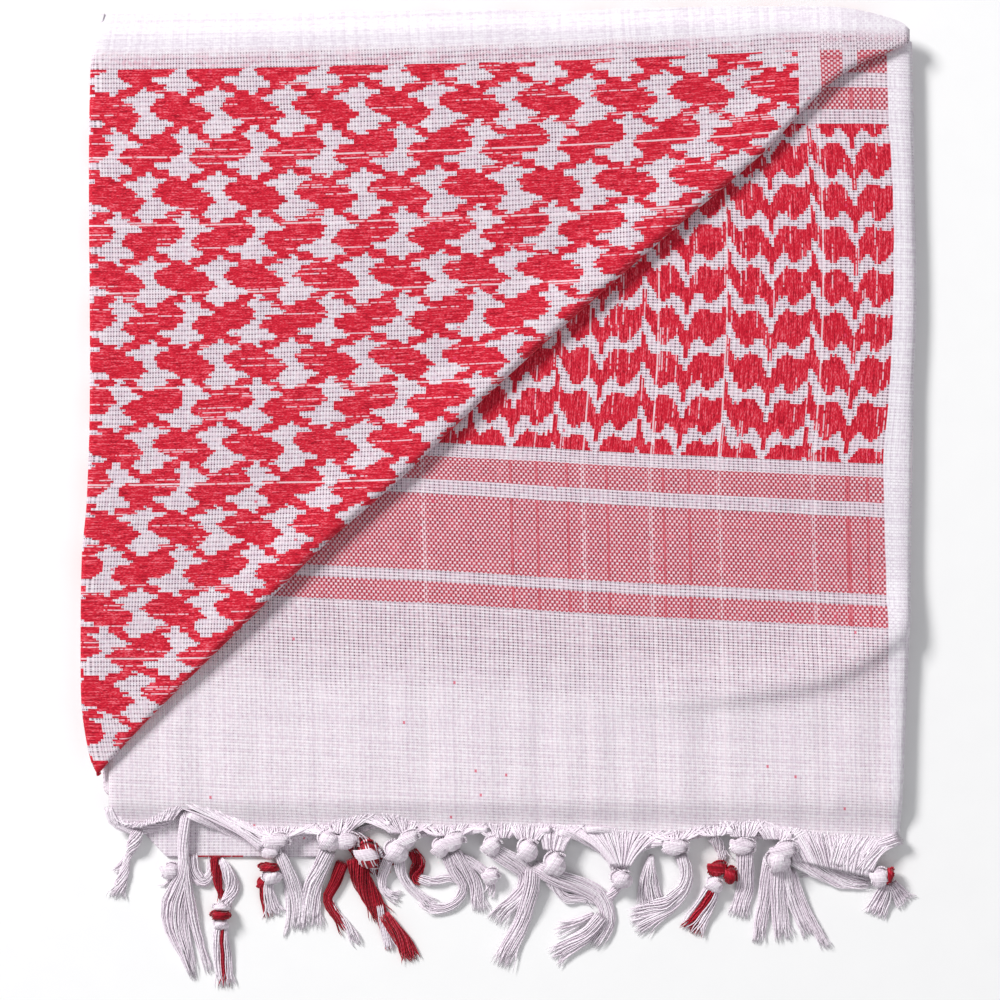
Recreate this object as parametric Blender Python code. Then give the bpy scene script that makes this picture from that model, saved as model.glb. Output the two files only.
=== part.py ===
"""A folded square headscarf of woven cotton with knotted fringe, lying flat.

Units are millimetres, turned to metres where a mesh is made. X is across, Y is away from the fringe, Z is
up, and the origin is at the middle of the underside. The cloth is a square folded in thirds both ways. The
end third faces up, and the corner of the next third is turned back over it along the diagonal.
"""

import math
from collections import namedtuple

import bmesh
import bpy
from mathutils import Vector

for old in list(bpy.data.objects):
    bpy.data.objects.remove(old, do_unlink=True)

MM = 0.001
GAP = 0.3
WALL = 1.0

# Heights of the pile.
STACK_TOP = 7.0
PANEL_TOP = STACK_TOP + GAP + WALL + 0.2
FLAP_TOP = 12.6
BLOCK_TOP = FLAP_TOP - WALL - GAP - 0.5

# The outline from above, a point for each change of direction. Each side is a smooth curve through its rows.
Point = namedtuple("Point", "x y")
TOP_EDGE = [
    Point(-177.5, 217.0), Point(-90.0, 217.6), Point(0.0, 219.0), Point(25.0, 217.8), Point(50.0, 219.2),
    Point(87.0, 220.0), Point(123.0, 220.4), Point(147.5, 220.0), Point(160.0, 218.5), Point(172.0, 215.5),
    Point(180.5, 212.3), Point(184.5, 208.0),
]
LEFT_EDGE = [
    Point(-179.2, -122.5), Point(-182.0, -117.0), Point(-185.5, -99.0), Point(-186.6, -84.0),
    Point(-186.2, -26.0), Point(-184.0, -1.0), Point(-182.6, 45.0), Point(-182.4, 190.0), Point(-177.5, 217.0),
]
RIGHT_EDGE = [
    Point(179.7, -155.0), Point(180.8, -129.0), Point(183.3, -69.0), Point(185.1, 17.0), Point(185.7, 54.0),
    Point(186.8, 88.0), Point(186.0, 138.0), Point(185.0, 199.0), Point(184.5, 208.0),
]
BOTTOM_EDGE = [
    Point(-174.5, -138.0), Point(-171.0, -144.0), Point(-161.0, -147.0), Point(-139.0, -138.5),
    Point(-109.0, -148.5), Point(-90.0, -149.0), Point(-52.0, -143.0), Point(-33.0, -148.0),
    Point(0.0, -147.5), Point(43.0, -149.0), Point(71.0, -151.5), Point(112.0, -146.0),
    Point(130.0, -149.5), Point(179.7, -155.0),
]

# The turned-back fold. Its rise is the height of the soft roll above the end panel.
Fold = namedtuple("Fold", "x y rise")
DIAGONAL = [
    Fold(-179.2, -122.5, 3.2), Fold(-155.0, -96.5, 4.6), Fold(-116.0, -58.0, 6.0), Fold(-76.5, -19.0, 6.6),
    Fold(-45.5, 8.0, 6.2), Fold(0.5, 52.0, 6.3), Fold(47.0, 93.5, 6.6), Fold(79.0, 121.5, 6.2),
    Fold(118.0, 155.0, 5.6), Fold(134.0, 172.0, 5.2), Fold(147.5, 185.5, 4.8), Fold(160.0, 194.0, 4.2),
    Fold(172.0, 199.0, 3.6), Fold(184.5, 204.5, 3.2),
]

# The soft crease that crosses the white end from the right edge and dies out.
Crease = namedtuple("Crease", "x y height")
END_CREASE = [
    Crease(70.0, -94.0, 0.0), Crease(96.0, -91.0, 0.9), Crease(123.0, -86.5, 1.5), Crease(154.0, -80.5, 1.9),
    Crease(183.5, -68.0, 2.2),
]
CREASE_WIDTH = 7.0


def smooth(rows, given, wanted, value):
    """The smooth curve through the rows' columns, read at a value of the given column."""
    last = len(rows) - 1
    values = [getattr(row, given) for row in rows]
    heights = [getattr(row, wanted) for row in rows]
    value = min(max(value, values[0]), values[-1])
    i = next(k for k in range(last) if value <= values[k + 1] or k == last - 1)

    def slope(k):
        before, after = max(k - 1, 0), min(k + 1, last)
        return (heights[after] - heights[before]) / (values[after] - values[before])

    span = values[i + 1] - values[i]
    t = (value - values[i]) / span
    start = heights[i] * (2 * t**3 - 3 * t**2 + 1) + heights[i + 1] * (3 * t**2 - 2 * t**3)
    return start + span * (slope(i) * (t**3 - 2 * t**2 + t) + slope(i + 1) * (t**3 - t**2))


def ease(value):
    """0 below 0, 1 above 1, and a soft step between."""
    value = min(max(value, 0.0), 1.0)
    return value * value * (3 - 2 * value)


def mix(a, b, t):
    return a + (b - a) * t


def steps_from_edge(near_edge, whole, count):
    """Distances from an edge: the given ones, where the cloth bends, and then even steps to the far side."""
    last = near_edge[-1]
    rest = count - len(near_edge) + 1
    return near_edge + [mix(last, whole, k / rest) for k in range(1, rest + 1)]


def cloth_material(name, colour, roughness=0.92):
    material = bpy.data.materials.new(name)
    material.use_nodes = True
    shader = material.node_tree.nodes["Principled BSDF"]
    shader.inputs["Base Color"].default_value = (*colour, 1.0)
    shader.inputs["Roughness"].default_value = roughness
    shader.inputs["Metallic"].default_value = 0.0
    return material


def add_node(name, made, colour):
    """Turns the bmesh into a named object with its own material, in metres."""
    bmesh.ops.scale(made, vec=(MM, MM, MM), verts=made.verts)
    mesh = bpy.data.meshes.new(name)
    made.to_mesh(mesh)
    made.free()
    mesh.shade_smooth()
    mesh.materials.append(cloth_material(name, colour))
    node = bpy.data.objects.new(name, mesh)
    bpy.context.scene.collection.objects.link(node)
    return node


def skin_rows(made, rows, around=False):
    """Joins rows of points with quads. With around, each row is a closed ring."""
    lines = [[made.verts.new(point) for point in row] for row in rows]
    count = len(lines[0])
    for below, above in zip(lines, lines[1:]):
        for k in range(count if around else count - 1):
            n = (k + 1) % count
            made.faces.new((below[k], below[n], above[n], above[k]))
    return lines


def add_wall(name, rows, colour):
    """A cloth wall whose upper face runs through the rows of points."""
    made = bmesh.new()
    skin_rows(made, rows)
    node = add_node(name, made, colour)
    wall = node.modifiers.new("Cloth wall", "SOLIDIFY")
    wall.thickness = WALL * MM
    wall.offset = -1.0
    return node


# ---- Folded layers: the plies that do not show, with rounded folds one above another at the edges. ----

STACK_FRONT = -136.0
CORNER_RADIUS = 7.0
CORNER_STEPS = 3
SIDE_STEPS = 11
GROOVE = 1.3
Layer = namedtuple("Layer", "inset")
LAYERS = [Layer(2.6), Layer(1.8), Layer(3.6)]


def outline(inset):
    """The pile's outline, anticlockwise from the front left corner, moved in by inset."""
    left = [Vector((smooth(LEFT_EDGE, "y", "x", y), y)) for y in side_steps(210.0, STACK_FRONT)]
    front = [Vector((x, STACK_FRONT)) for x in side_steps(-174.0, 175.0)]
    right = [Vector((smooth(RIGHT_EDGE, "y", "x", y), y)) for y in side_steps(STACK_FRONT, 200.0)]
    top = [Vector((x, smooth(TOP_EDGE, "x", "y", x))) for x in side_steps(178.0, -174.0)]
    sides = [left, front, right, top]
    inward = [Vector((1, 0)), Vector((0, 1)), Vector((-1, 0)), Vector((0, -1))]
    moved = [[point + way * inset for point in side] for side, way in zip(sides, inward)]
    loop = []
    for k, side in enumerate(moved):
        start, end = moved[k - 1][-1], side[0]
        pivot = corner_pivot(start, end, inward[k - 1])
        for step in range(1, CORNER_STEPS):
            t = step / CORNER_STEPS * math.pi / 2
            loop.append(pivot + (start - pivot) * math.cos(t) + (end - pivot) * math.sin(t))
        loop.extend(side)
    return loop


def side_steps(start, end):
    """Evenly spaced values along a side, short of its corners by their radius."""
    way = 1 if end > start else -1
    return [mix(start + way * CORNER_RADIUS, end - way * CORNER_RADIUS, k / SIDE_STEPS)
            for k in range(SIDE_STEPS + 1)]


def corner_pivot(start, end, way_in):
    """The middle of the quarter turn from the end of one side to the start of the next."""
    return Vector((start.x, end.y)) if way_in.x == 0 else Vector((end.x, start.y))


def stack_rings():
    """Rings up the side: each layer bulges past the groove above and below it."""
    rings = [[(p.x, p.y, 0.0) for p in outline(LAYERS[0].inset + GROOVE)]]
    deep = STACK_TOP / len(LAYERS)
    for k, layer in enumerate(LAYERS):
        for turn, height in ((0.35, 0.2), (0.0, 0.5), (0.35, 0.8)):
            ring = outline(layer.inset + GROOVE * turn)
            rings.append([(p.x, p.y, (k + height) * deep) for p in ring])
        if layer is not LAYERS[-1]:
            waist = outline((layer.inset + LAYERS[k + 1].inset) / 2 + GROOVE)
            rings.append([(p.x, p.y, (k + 1) * deep) for p in waist])
    rings.append([(p.x, p.y, STACK_TOP) for p in outline(LAYERS[-1].inset + GROOVE)])
    return rings


def closed_loft(rings):
    made = bmesh.new()
    lines = skin_rows(made, rings, around=True)
    made.faces.new(list(reversed(lines[0])))
    made.faces.new(lines[-1])
    bmesh.ops.recalc_face_normals(made, faces=made.faces)
    return made


def inner_block_rings():
    """The plies inside the turned corner: a rounded triangle standing on the pile."""
    behind_fold, from_left, from_top = 17.5, 9.0, 8.0
    low_x, high_x = -172.0, 150.0
    steps = 9

    def ring(inset, z):
        xs = [mix(low_x + inset, high_x - inset, k / steps) for k in range(steps + 1)]
        lower = [(x, smooth(DIAGONAL, "x", "y", x) + behind_fold + inset, z) for x in xs]
        upper = [(x, smooth(TOP_EDGE, "x", "y", x) - from_top - inset, z) for x in reversed(xs)]
        return lower + upper

    return [ring(0.0, STACK_TOP - 2.0), ring(0.0, BLOCK_TOP - 1.2), ring(1.5, BLOCK_TOP)]


folded_layers = add_node("folded_layers", closed_loft(stack_rings()), (0.78, 0.76, 0.80))
inner_block = add_node("inner_block", closed_loft(inner_block_rings()), (0.78, 0.76, 0.80))
inner_block.hide_render = True
inner_block.display_type = "WIRE"
joined = folded_layers.modifiers.new("Plies in the corner", "BOOLEAN")
joined.operation = "UNION"
joined.object = inner_block


# ---- End panel: the end third, from under the turned corner to the selvedge and the fringed end. ----

PANEL_ACROSS = 24
PANEL_ALONG = 18
NEAR_END = [0.0, 4.5, 9.0, 14.0, 20.0]
NEAR_SELVEDGE = [0.0, 2.0, 4.0, 7.0]
TUCK = 14.5
PANEL_LEFT = BOTTOM_EDGE[0].x
PANEL_RIGHT = 186.0
DROOP_START = -133.5
DROOP_LENGTH = 14.0
DROOP = 3.6
SIDE_DROOP = 1.8
SIDE_DROOP_LENGTH = 6.0


def crease_height(x, y):
    """The height that the crease adds: steep on its far side, long on its near side."""
    if x < END_CREASE[0].x:
        return 0.0
    line = smooth(END_CREASE, "x", "y", x)
    away = (y - line) / CREASE_WIDTH
    spread = 1.0 if away > 0 else 2.6
    return smooth(END_CREASE, "x", "height", x) * math.exp(-((away / spread) ** 2))


def panel_height(x, y, from_right):
    """The height of the panel's upper face."""
    z = PANEL_TOP + crease_height(x, y)
    z -= DROOP * ease((DROOP_START - y) / DROOP_LENGTH)
    z -= SIDE_DROOP * (1 - ease(from_right / SIDE_DROOP_LENGTH))
    return z


def panel_rows():
    width = PANEL_RIGHT - PANEL_LEFT
    columns = []
    for from_right in reversed(steps_from_edge(NEAR_SELVEDGE, width, PANEL_ACROSS)):
        nominal = PANEL_RIGHT - from_right
        low = smooth(BOTTOM_EDGE, "x", "y", nominal)
        edge = smooth(TOP_EDGE, "x", "y", nominal) - 3.0
        high = min(smooth(DIAGONAL, "x", "y", nominal) + TUCK, edge)
        column = []
        for from_end in steps_from_edge(NEAR_END, high - low, PANEL_ALONG):
            y = low + from_end
            share = (1 - from_right / width) ** 3
            x = nominal + (smooth(RIGHT_EDGE, "y", "x", y) - PANEL_RIGHT) * share
            column.append((x, y, panel_height(x, y, from_right)))
        columns.append(column)
    return [list(row) for row in zip(*columns)]


end_panel = add_wall("end_panel", panel_rows(), (0.82, 0.72, 0.76))


# ---- Corner flap: the turned-back corner, with its free selvedge, its left fold and its soft roll. ----

FLAP_ALONG = 10
NEAR_FREE_EDGE = [0.0, 3.0, 6.5, 11.0]
ROLL_STEPS = 6
RETURN = 6.0
SETTLE = 34.0
LEFT_ROLL_WIDTH = 3.0
LEFT_ROLL_STEPS = 4
FLAP_ACROSS = 19
EDGE_DROOP = 2.6
EDGE_DROOP_LENGTH = 10.0
FLAP_LEFT = -186.6
FLAP_RIGHT = 183.0


def flap_columns():
    """Each column's nominal x and its height as a share of the full height, from the left fold on."""
    columns = []
    for k in range(LEFT_ROLL_STEPS):
        turn = mix(-50.0, 75.0, k / (LEFT_ROLL_STEPS - 1)) * math.pi / 180
        columns.append((FLAP_LEFT + LEFT_ROLL_WIDTH * (1 - math.cos(turn)), 0.5 + 0.5 * math.sin(turn)))
    first = FLAP_LEFT + 2 * LEFT_ROLL_WIDTH
    for k in range(FLAP_ACROSS + 1):
        columns.append((mix(first, FLAP_RIGHT, (k / FLAP_ACROSS) ** 0.92), 1.0))
    return columns


def flap_x(nominal, y):
    """Moves a column's points with the curve of the left edge, less and less towards the right."""
    share = max(0.0, 1 - (nominal - FLAP_LEFT) / 120.0)
    return nominal + (smooth(LEFT_EDGE, "y", "x", y) - FLAP_LEFT) * share**2


def fold_end(nominal):
    """Where a column meets the diagonal."""
    x = nominal
    for _ in range(6):
        y = smooth(DIAGONAL, "x", "y", x)
        x = flap_x(nominal, y)
    return x, smooth(DIAGONAL, "x", "y", x)


def flap_rows():
    columns = []
    for nominal, share in flap_columns():
        end_x, end_y = fold_end(nominal)
        low = PANEL_TOP + GAP
        roll_top = low + smooth(DIAGONAL, "x", "rise", end_x)
        corner = ease((nominal - 120.0) / 63.0)
        half = max((roll_top - low) * share / 2, 0.5)
        from_tip = ease((nominal - FLAP_LEFT - 6.0) / 14.0)
        turn_end = mix(0.0, -90.0, from_tip)
        start_y = smooth(TOP_EDGE, "x", "y", flap_x(nominal, 217.0))
        roll_start = end_y + half * 1.4
        points = []
        length = start_y - roll_start
        near_edge = NEAR_FREE_EDGE if length > 40.0 else [0.0]
        for from_edge in steps_from_edge(near_edge, length, FLAP_ALONG):
            y = start_y - from_edge
            settled = mix(FLAP_TOP, roll_top, corner)
            top = mix(roll_top, settled, ease((y - roll_start) / SETTLE))
            top -= EDGE_DROOP * (1 - corner) * (1 - ease((start_y - y) / EDGE_DROOP_LENGTH))
            z = mix(low + WALL, top, share)
            points.append((flap_x(nominal, y), y, z))
        base = points[-1][2] - half
        for k in range(1, ROLL_STEPS + 1):
            turn = mix(90.0, turn_end, k / ROLL_STEPS) * math.pi / 180
            y = roll_start - half * 1.4 * math.cos(turn)
            points.append((flap_x(nominal, y), y, base + half * math.sin(turn)))
        back = max(RETURN * from_tip * (1 - corner), 0.6)
        x, y, z = points[-1]
        sunk = 0.0 if from_tip > 0.5 else -0.5
        points.append((x, y + back, z + sunk))
        columns.append(points)
    return columns


corner_flap = add_wall("corner_flap", flap_rows(), (0.74, 0.28, 0.32))


# ---- Lower ply: the strip that comes out under the end panel at the bottom left. ----

PLY_BACK = STACK_FRONT - 1.0
PLY_FRONT = -160.5
PLY_LEFT, PLY_CORNER, PLY_RIGHT = -158.5, -149.5, -79.0
PLY_ACROSS, PLY_ALONG = 8, 4


def ply_rows():
    rows = []
    for j in range(PLY_ALONG + 1):
        row = []
        for i in range(PLY_ACROSS + 1):
            x = mix(PLY_LEFT, PLY_RIGHT, i / PLY_ACROSS)
            cut = max(0.0, (PLY_CORNER - x) / (PLY_CORNER - PLY_LEFT))
            front = mix(PLY_FRONT, PLY_BACK - 14.0, cut)
            y = mix(front, PLY_BACK, j / PLY_ALONG)
            row.append((x, y, mix(WALL + 0.3, 2.4, ease(j / PLY_ALONG))))
        rows.append(row)
    return rows


lower_ply = add_wall("lower_ply", ply_rows(), (0.80, 0.79, 0.84))


# ---- Fringe: each tassel is one plain solid of its reach, from its neck past its knot to its tips. ----

# knot_at is the route's point that the knot sits on. Widths are across the tassel. The lifts are the
# height of its underside at its start and at its end, and it comes down to the surface between them.
Tassel = namedtuple("Tassel", "name knot_at knot neck tail lift end_lift route")
WHITE = (0.80, 0.77, 0.81)
RED = (0.60, 0.03, 0.06)
TASSELS = [
    Tassel("tassel_01", 1, 6.0, 4.5, 6.0, 0.3, 0.3,
           [(-163.0, -149.5), (-164.8, -155.5), (-167.0, -161.0), (-169.5, -170.0), (-171.5, -180.0)]),
    Tassel("tassel_02", 0, 4.6, 4.6, 10.0, 3.6, 0.3,
           [(-141.6, -141.5), (-141.8, -156.0), (-141.5, -166.5), (-140.5, -180.0), (-138.0, -197.0),
            (-133.0, -213.0)]),
    Tassel("tassel_03", 0, 10.0, 9.0, 7.0, 3.4, 0.3,
           [(-99.5, -152.8), (-97.0, -162.0), (-93.5, -173.0), (-92.5, -184.0), (-93.5, -194.0)]),
    Tassel("tassel_04", 0, 12.0, 9.0, 8.0, 3.0, 0.3,
           [(-73.0, -152.5), (-77.5, -161.0), (-83.0, -172.0), (-83.0, -184.0), (-83.0, -193.0)]),
    Tassel("tassel_05", 0, 10.5, 9.5, 5.0, 3.0, 4.6,
           [(-46.5, -155.0), (-50.5, -166.0), (-51.0, -173.0), (-45.5, -179.0)]),
    Tassel("tassel_06", 0, 6.0, 4.5, 4.5, 3.0, 0.3,
           [(-42.0, -163.0), (-37.0, -170.0), (-32.0, -179.5)]),
    Tassel("tassel_07", 0, 11.0, 8.0, 5.0, 3.0, 0.3,
           [(-22.5, -153.5), (-18.5, -164.0), (-15.5, -174.0), (-22.0, -181.5), (-31.0, -184.5)]),
    Tassel("tassel_08", 0, 7.0, 6.0, 6.0, 3.0, 0.3,
           [(-12.0, -156.0), (-10.5, -166.0), (-8.5, -176.0), (-9.0, -184.0)]),
    Tassel("tassel_09", 0, 7.5, 6.0, 8.0, 3.0, 0.3,
           [(-2.0, -153.5), (3.5, -167.0), (4.0, -178.0), (-0.5, -191.0)]),
    Tassel("tassel_10", 0, 8.0, 6.0, 8.0, 3.0, 0.3,
           [(10.0, -154.5), (13.5, -167.0), (12.8, -180.0), (8.0, -192.0), (-0.5, -210.0)]),
    Tassel("tassel_11", 1, 9.5, 8.0, 8.0, 3.0, 0.3,
           [(24.5, -154.5), (25.5, -163.5), (34.5, -170.5), (45.0, -177.0), (49.0, -189.0),
            (43.0, -200.0), (31.0, -207.0)]),
    Tassel("tassel_12", 1, 9.0, 8.0, 6.0, 2.2, 0.3,
           [(52.5, -155.0), (54.5, -169.5), (52.0, -174.0)]),
    Tassel("tassel_13", 0, 6.0, 6.0, 9.0, 2.4, 0.3,
           [(64.5, -156.5), (67.5, -170.0), (68.0, -180.0)]),
    Tassel("tassel_14", 0, 10.0, 6.0, 5.5, 3.0, 0.3,
           [(79.0, -157.0), (83.5, -166.0), (82.5, -177.0), (75.5, -185.0), (62.0, -193.0)]),
    Tassel("tassel_15", 1, 9.0, 6.0, 9.0, 1.5, 0.3,
           [(98.5, -153.5), (99.0, -166.0), (95.0, -175.0), (87.5, -194.0)]),
    Tassel("tassel_16", 0, 9.0, 8.0, 7.5, 3.0, 0.3,
           [(109.5, -153.5), (110.0, -164.0), (110.3, -176.0), (109.5, -189.0)]),
    Tassel("tassel_17", 0, 7.0, 5.0, 6.0, 0.6, 0.3,
           [(117.8, -160.5), (119.0, -172.0), (119.0, -184.0), (116.0, -199.5)]),
    Tassel("tassel_18", 0, 10.0, 5.5, 7.0, 3.0, 0.3,
           [(126.0, -158.5), (126.5, -170.0), (127.0, -184.0), (127.5, -198.0)]),
    Tassel("tassel_19", 0, 5.0, 4.5, 5.5, 0.6, 0.3,
           [(132.6, -167.5), (136.0, -181.0), (142.0, -194.0), (147.0, -202.0)]),
    Tassel("tassel_20", 2, 8.0, 5.5, 13.0, 2.2, 0.3,
           [(137.0, -161.5), (155.0, -168.5), (171.0, -169.5), (174.0, -177.0), (175.0, -187.0)]),
    Tassel("lower_tassel_01", 1, 6.5, 5.0, 4.0, 0.3, 0.3,
           [(-148.5, -162.0), (-148.3, -166.5), (-149.0, -172.0)]),
    Tassel("lower_tassel_02", 2, 9.5, 7.0, 8.5, 0.3, 0.3,
           [(-126.5, -162.0), (-123.0, -174.0), (-125.3, -186.0), (-125.5, -199.0), (-122.5, -220.2)]),
    Tassel("lower_tassel_03", 0, 8.5, 7.5, 7.5, 0.3, 0.3,
           [(-106.0, -165.5), (-105.5, -173.0), (-102.5, -186.5)]),
    Tassel("lower_tassel_04", 0, 4.5, 4.5, 5.5, 0.3, 0.3,
           [(-71.5, -166.0), (-75.5, -174.0), (-75.0, -184.0), (-69.0, -193.5), (-62.0, -201.0)]),
    Tassel("lower_tassel_05", 0, 9.0, 7.5, 9.0, 0.3, 0.3,
           [(-60.5, -160.0), (-60.0, -171.0), (-55.5, -181.5), (-49.0, -193.0), (-41.0, -207.0)]),
]

RING_SIDES = 6
STATIONS = 8
KNOT_REACH = 0.85
TAIL_THICK = 2.6
FLATNESS = 0.72


def route_lengths(route):
    lengths = [0.0]
    for start, end in zip(route, route[1:]):
        lengths.append(lengths[-1] + math.dist(start, end))
    return lengths


def tassel_rings(tassel):
    """Six-sided rings along the route: round at the knot, flat and wide at the tips."""
    lengths = route_lengths(tassel.route)
    Stop = namedtuple("Stop", "s x y")
    stops = [Stop(s, x, y) for s, (x, y) in zip(lengths, tassel.route)]
    knot_s = lengths[tassel.knot_at]
    whole = lengths[-1]
    rings = []
    for k in range(STATIONS + 1):
        s = whole * k / STATIONS
        here = Vector((smooth(stops, "s", "x", s), smooth(stops, "s", "y", s)))
        ahead = min(s + 0.5, whole)
        behind = max(s - 0.5, 0.0)
        way = Vector((
            smooth(stops, "s", "x", ahead) - smooth(stops, "s", "x", behind),
            smooth(stops, "s", "y", ahead) - smooth(stops, "s", "y", behind),
        )).normalized()
        at_knot = math.exp(-((s - knot_s) / (tassel.knot * KNOT_REACH)) ** 2)
        to_tips = ease((s - knot_s) / max(whole - knot_s, 1.0))
        wide = mix(mix(tassel.neck, tassel.tail, to_tips), tassel.knot, at_knot)
        thick = mix(mix(tassel.neck * FLATNESS, TAIL_THICK, to_tips), tassel.knot * FLATNESS, at_knot)
        if k in (0, STATIONS):
            wide *= 0.7
            thick *= 0.7
        base = mix(tassel.lift, tassel.end_lift, ease(s / whole * 1.6))
        ring = []
        for n in range(RING_SIDES):
            turn = 2 * math.pi * n / RING_SIDES
            side = Vector((-way.y, way.x)) * (wide / 2 * math.cos(turn))
            ring.append((here.x + side.x, here.y + side.y, base + thick / 2 * (1 + math.sin(turn))))
        rings.append(ring)
    return rings


for tassel in TASSELS:
    is_red = tassel.name.startswith("lower") and tassel.name != "lower_tassel_01"
    add_node(tassel.name, closed_loft(tassel_rings(tassel)), RED if is_red else WHITE)
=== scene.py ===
import math
import random
from collections import namedtuple

import bmesh
import bpy
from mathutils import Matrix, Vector, noise


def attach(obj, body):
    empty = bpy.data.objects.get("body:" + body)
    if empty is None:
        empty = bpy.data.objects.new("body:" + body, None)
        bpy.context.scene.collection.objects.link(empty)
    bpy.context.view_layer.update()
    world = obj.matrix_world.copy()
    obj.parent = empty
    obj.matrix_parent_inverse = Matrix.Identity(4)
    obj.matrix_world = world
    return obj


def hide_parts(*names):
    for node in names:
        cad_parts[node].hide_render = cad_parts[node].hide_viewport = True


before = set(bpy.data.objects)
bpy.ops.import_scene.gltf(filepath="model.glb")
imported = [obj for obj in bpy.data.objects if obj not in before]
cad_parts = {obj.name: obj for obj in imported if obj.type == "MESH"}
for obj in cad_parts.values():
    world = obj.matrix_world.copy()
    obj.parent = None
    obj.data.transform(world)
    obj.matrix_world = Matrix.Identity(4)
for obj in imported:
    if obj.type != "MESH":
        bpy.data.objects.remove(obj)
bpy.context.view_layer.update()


# ---- Folded layers: the plies of the square that lie under the end panel and under the turned corner. ----
# Thin soft cotton, folded in thirds both ways. Each ply ends in a rounded fold or a selvedge, and no two
# stop at the same place, so the edge of the pile is a row of uneven soft lips.

MM = 0.001
GAP = 0.3
WALL = 1
STACK_TOP = 7
PANEL_TOP = STACK_TOP + GAP + WALL + 0.2
FLAP_TOP = 12.6
STACK_FRONT = -136

# The outline from above in millimetres, as in the part. Each side is a smooth curve through its rows.
Point = namedtuple("Point", "x y")
TOP_EDGE = [
    Point(-177.5, 217), Point(-90, 217.6), Point(0, 219), Point(25, 217.8), Point(50, 219.2),
    Point(87, 220), Point(123, 220.4), Point(147.5, 220), Point(160, 218.5), Point(172, 215.5),
    Point(180.5, 212.3), Point(184.5, 208),
]
LEFT_EDGE = [
    Point(-179.2, -122.5), Point(-182, -117), Point(-185.5, -99), Point(-186.6, -84),
    Point(-186.2, -26), Point(-184, -1), Point(-182.6, 45), Point(-182.4, 190), Point(-177.5, 217),
]
RIGHT_EDGE = [
    Point(179.7, -155), Point(180.8, -129), Point(183.3, -69), Point(185.1, 17), Point(185.7, 54),
    Point(186.8, 88), Point(186, 138), Point(185, 199), Point(184.5, 208),
]
BOTTOM_EDGE = [
    Point(-174.5, -138), Point(-171, -144), Point(-161, -147), Point(-139, -138.5),
    Point(-109, -148.5), Point(-90, -149), Point(-52, -143), Point(-33, -148),
    Point(0, -147.5), Point(43, -149), Point(71, -151.5), Point(112, -146),
    Point(130, -149.5), Point(179.7, -155),
]
Fold = namedtuple("Fold", "x y rise")
DIAGONAL = [
    Fold(-179.2, -122.5, 3.2), Fold(-155, -96.5, 4.6), Fold(-116, -58, 6), Fold(-76.5, -19, 6.6),
    Fold(-45.5, 8, 6.2), Fold(0.5, 52, 6.3), Fold(47, 93.5, 6.6), Fold(79, 121.5, 6.2),
    Fold(118, 155, 5.6), Fold(134, 172, 5.2), Fold(147.5, 185.5, 4.8), Fold(160, 194, 4.2),
    Fold(172, 199, 3.6), Fold(184.5, 204.5, 3.2),
]

# The loom: a dent of the reed holds two warp ends, and a pick is one weft thread.
DENT = 2.1
PICK = 1.345
CHART_SPAN = 32
BLEND = 0.6

# The colours of the weave: thread in shade and in light, the pink that red threads lend it, and the painted
# shade of the holes; then the red floats, from painted shade to painted highlight, with their worn patches;
# then the odd threads, and the painted shade of the gaps beside the check's floats.
WHITE_DIM, WHITE_LIT = (0.76, 0.68, 0.77, 1), (0.92, 0.88, 0.93, 1)
PINK, HOLE_SHADE = (0.8, 0.42, 0.52, 1), (0.115, 0.05, 0.085, 1)
RED_SHADED, RED = (0.32, 0.002, 0.014, 1), (0.65, 0.012, 0.036, 1)
RED_HIGHLIGHT, RED_PATCH = (0.84, 0.17, 0.22, 1), (0.56, 0.004, 0.022, 1)
DASH_PINK, GAP_SHADE = (0.86, 0.6, 0.68, 1), (0.24, 0.012, 0.045, 1)
PALE, SPECK_RED = (0.92, 0.8, 0.86, 1), (0.7, 0.05, 0.12, 1)


def smooth(rows, given, wanted, value):
    """The smooth curve through the rows' columns, read at a value of the given column."""
    last = len(rows) - 1
    values = [getattr(row, given) for row in rows]
    heights = [getattr(row, wanted) for row in rows]
    value = min(max(value, values[0]), values[-1])
    i = next(k for k in range(last) if value <= values[k + 1] or k == last - 1)

    def slope(k):
        before, after = max(k - 1, 0), min(k + 1, last)
        return (heights[after] - heights[before]) / (values[after] - values[before])

    span = values[i + 1] - values[i]
    t = (value - values[i]) / span
    start = heights[i] * (2 * t**3 - 3 * t**2 + 1) + heights[i + 1] * (3 * t**2 - 2 * t**3)
    return start + span * (slope(i) * (t**3 - 2 * t**2 + t) + slope(i + 1) * (t**3 - t**2))


def ease(value):
    """0 below 0, 1 above 1, and a soft step between."""
    value = min(max(value, 0), 1)
    return value * value * (3 - 2 * value)


def mix(a, b, t):
    return a + (b - a) * t


def wave(x, y, size, seed):
    """Soft unevenness from -1 to 1, its humps about size millimetres apart."""
    return noise.noise(Vector((x / size, y / size, seed)))


def bow(x, y, terms):
    """How far the threads have slid from straight, as a square law in x and y in hundreds of millimetres."""
    return sum(term * part for term, part in zip(terms, (1, x, y, x * x, x * y, y * y)))


def cloth_sheet(made, across, along, place):
    """A grid of quads whose corner (i, j) goes where place says, with its place in the weave as its UV."""
    lay = made.loops.layers.uv.verify()
    grid = bmesh.ops.create_grid(made, x_segments=across, y_segments=along, size=0.5)
    threads = {}
    for vert in grid["verts"]:
        i = round((vert.co.x + 0.5) * across)
        j = round((vert.co.y + 0.5) * along)
        vert.co, threads[vert] = place(i, j)
    for vert, (dents, picks) in threads.items():
        for loop in vert.link_loops:
            loop[lay].uv = (dents * MM, picks * MM)
    return grid["verts"]


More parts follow.
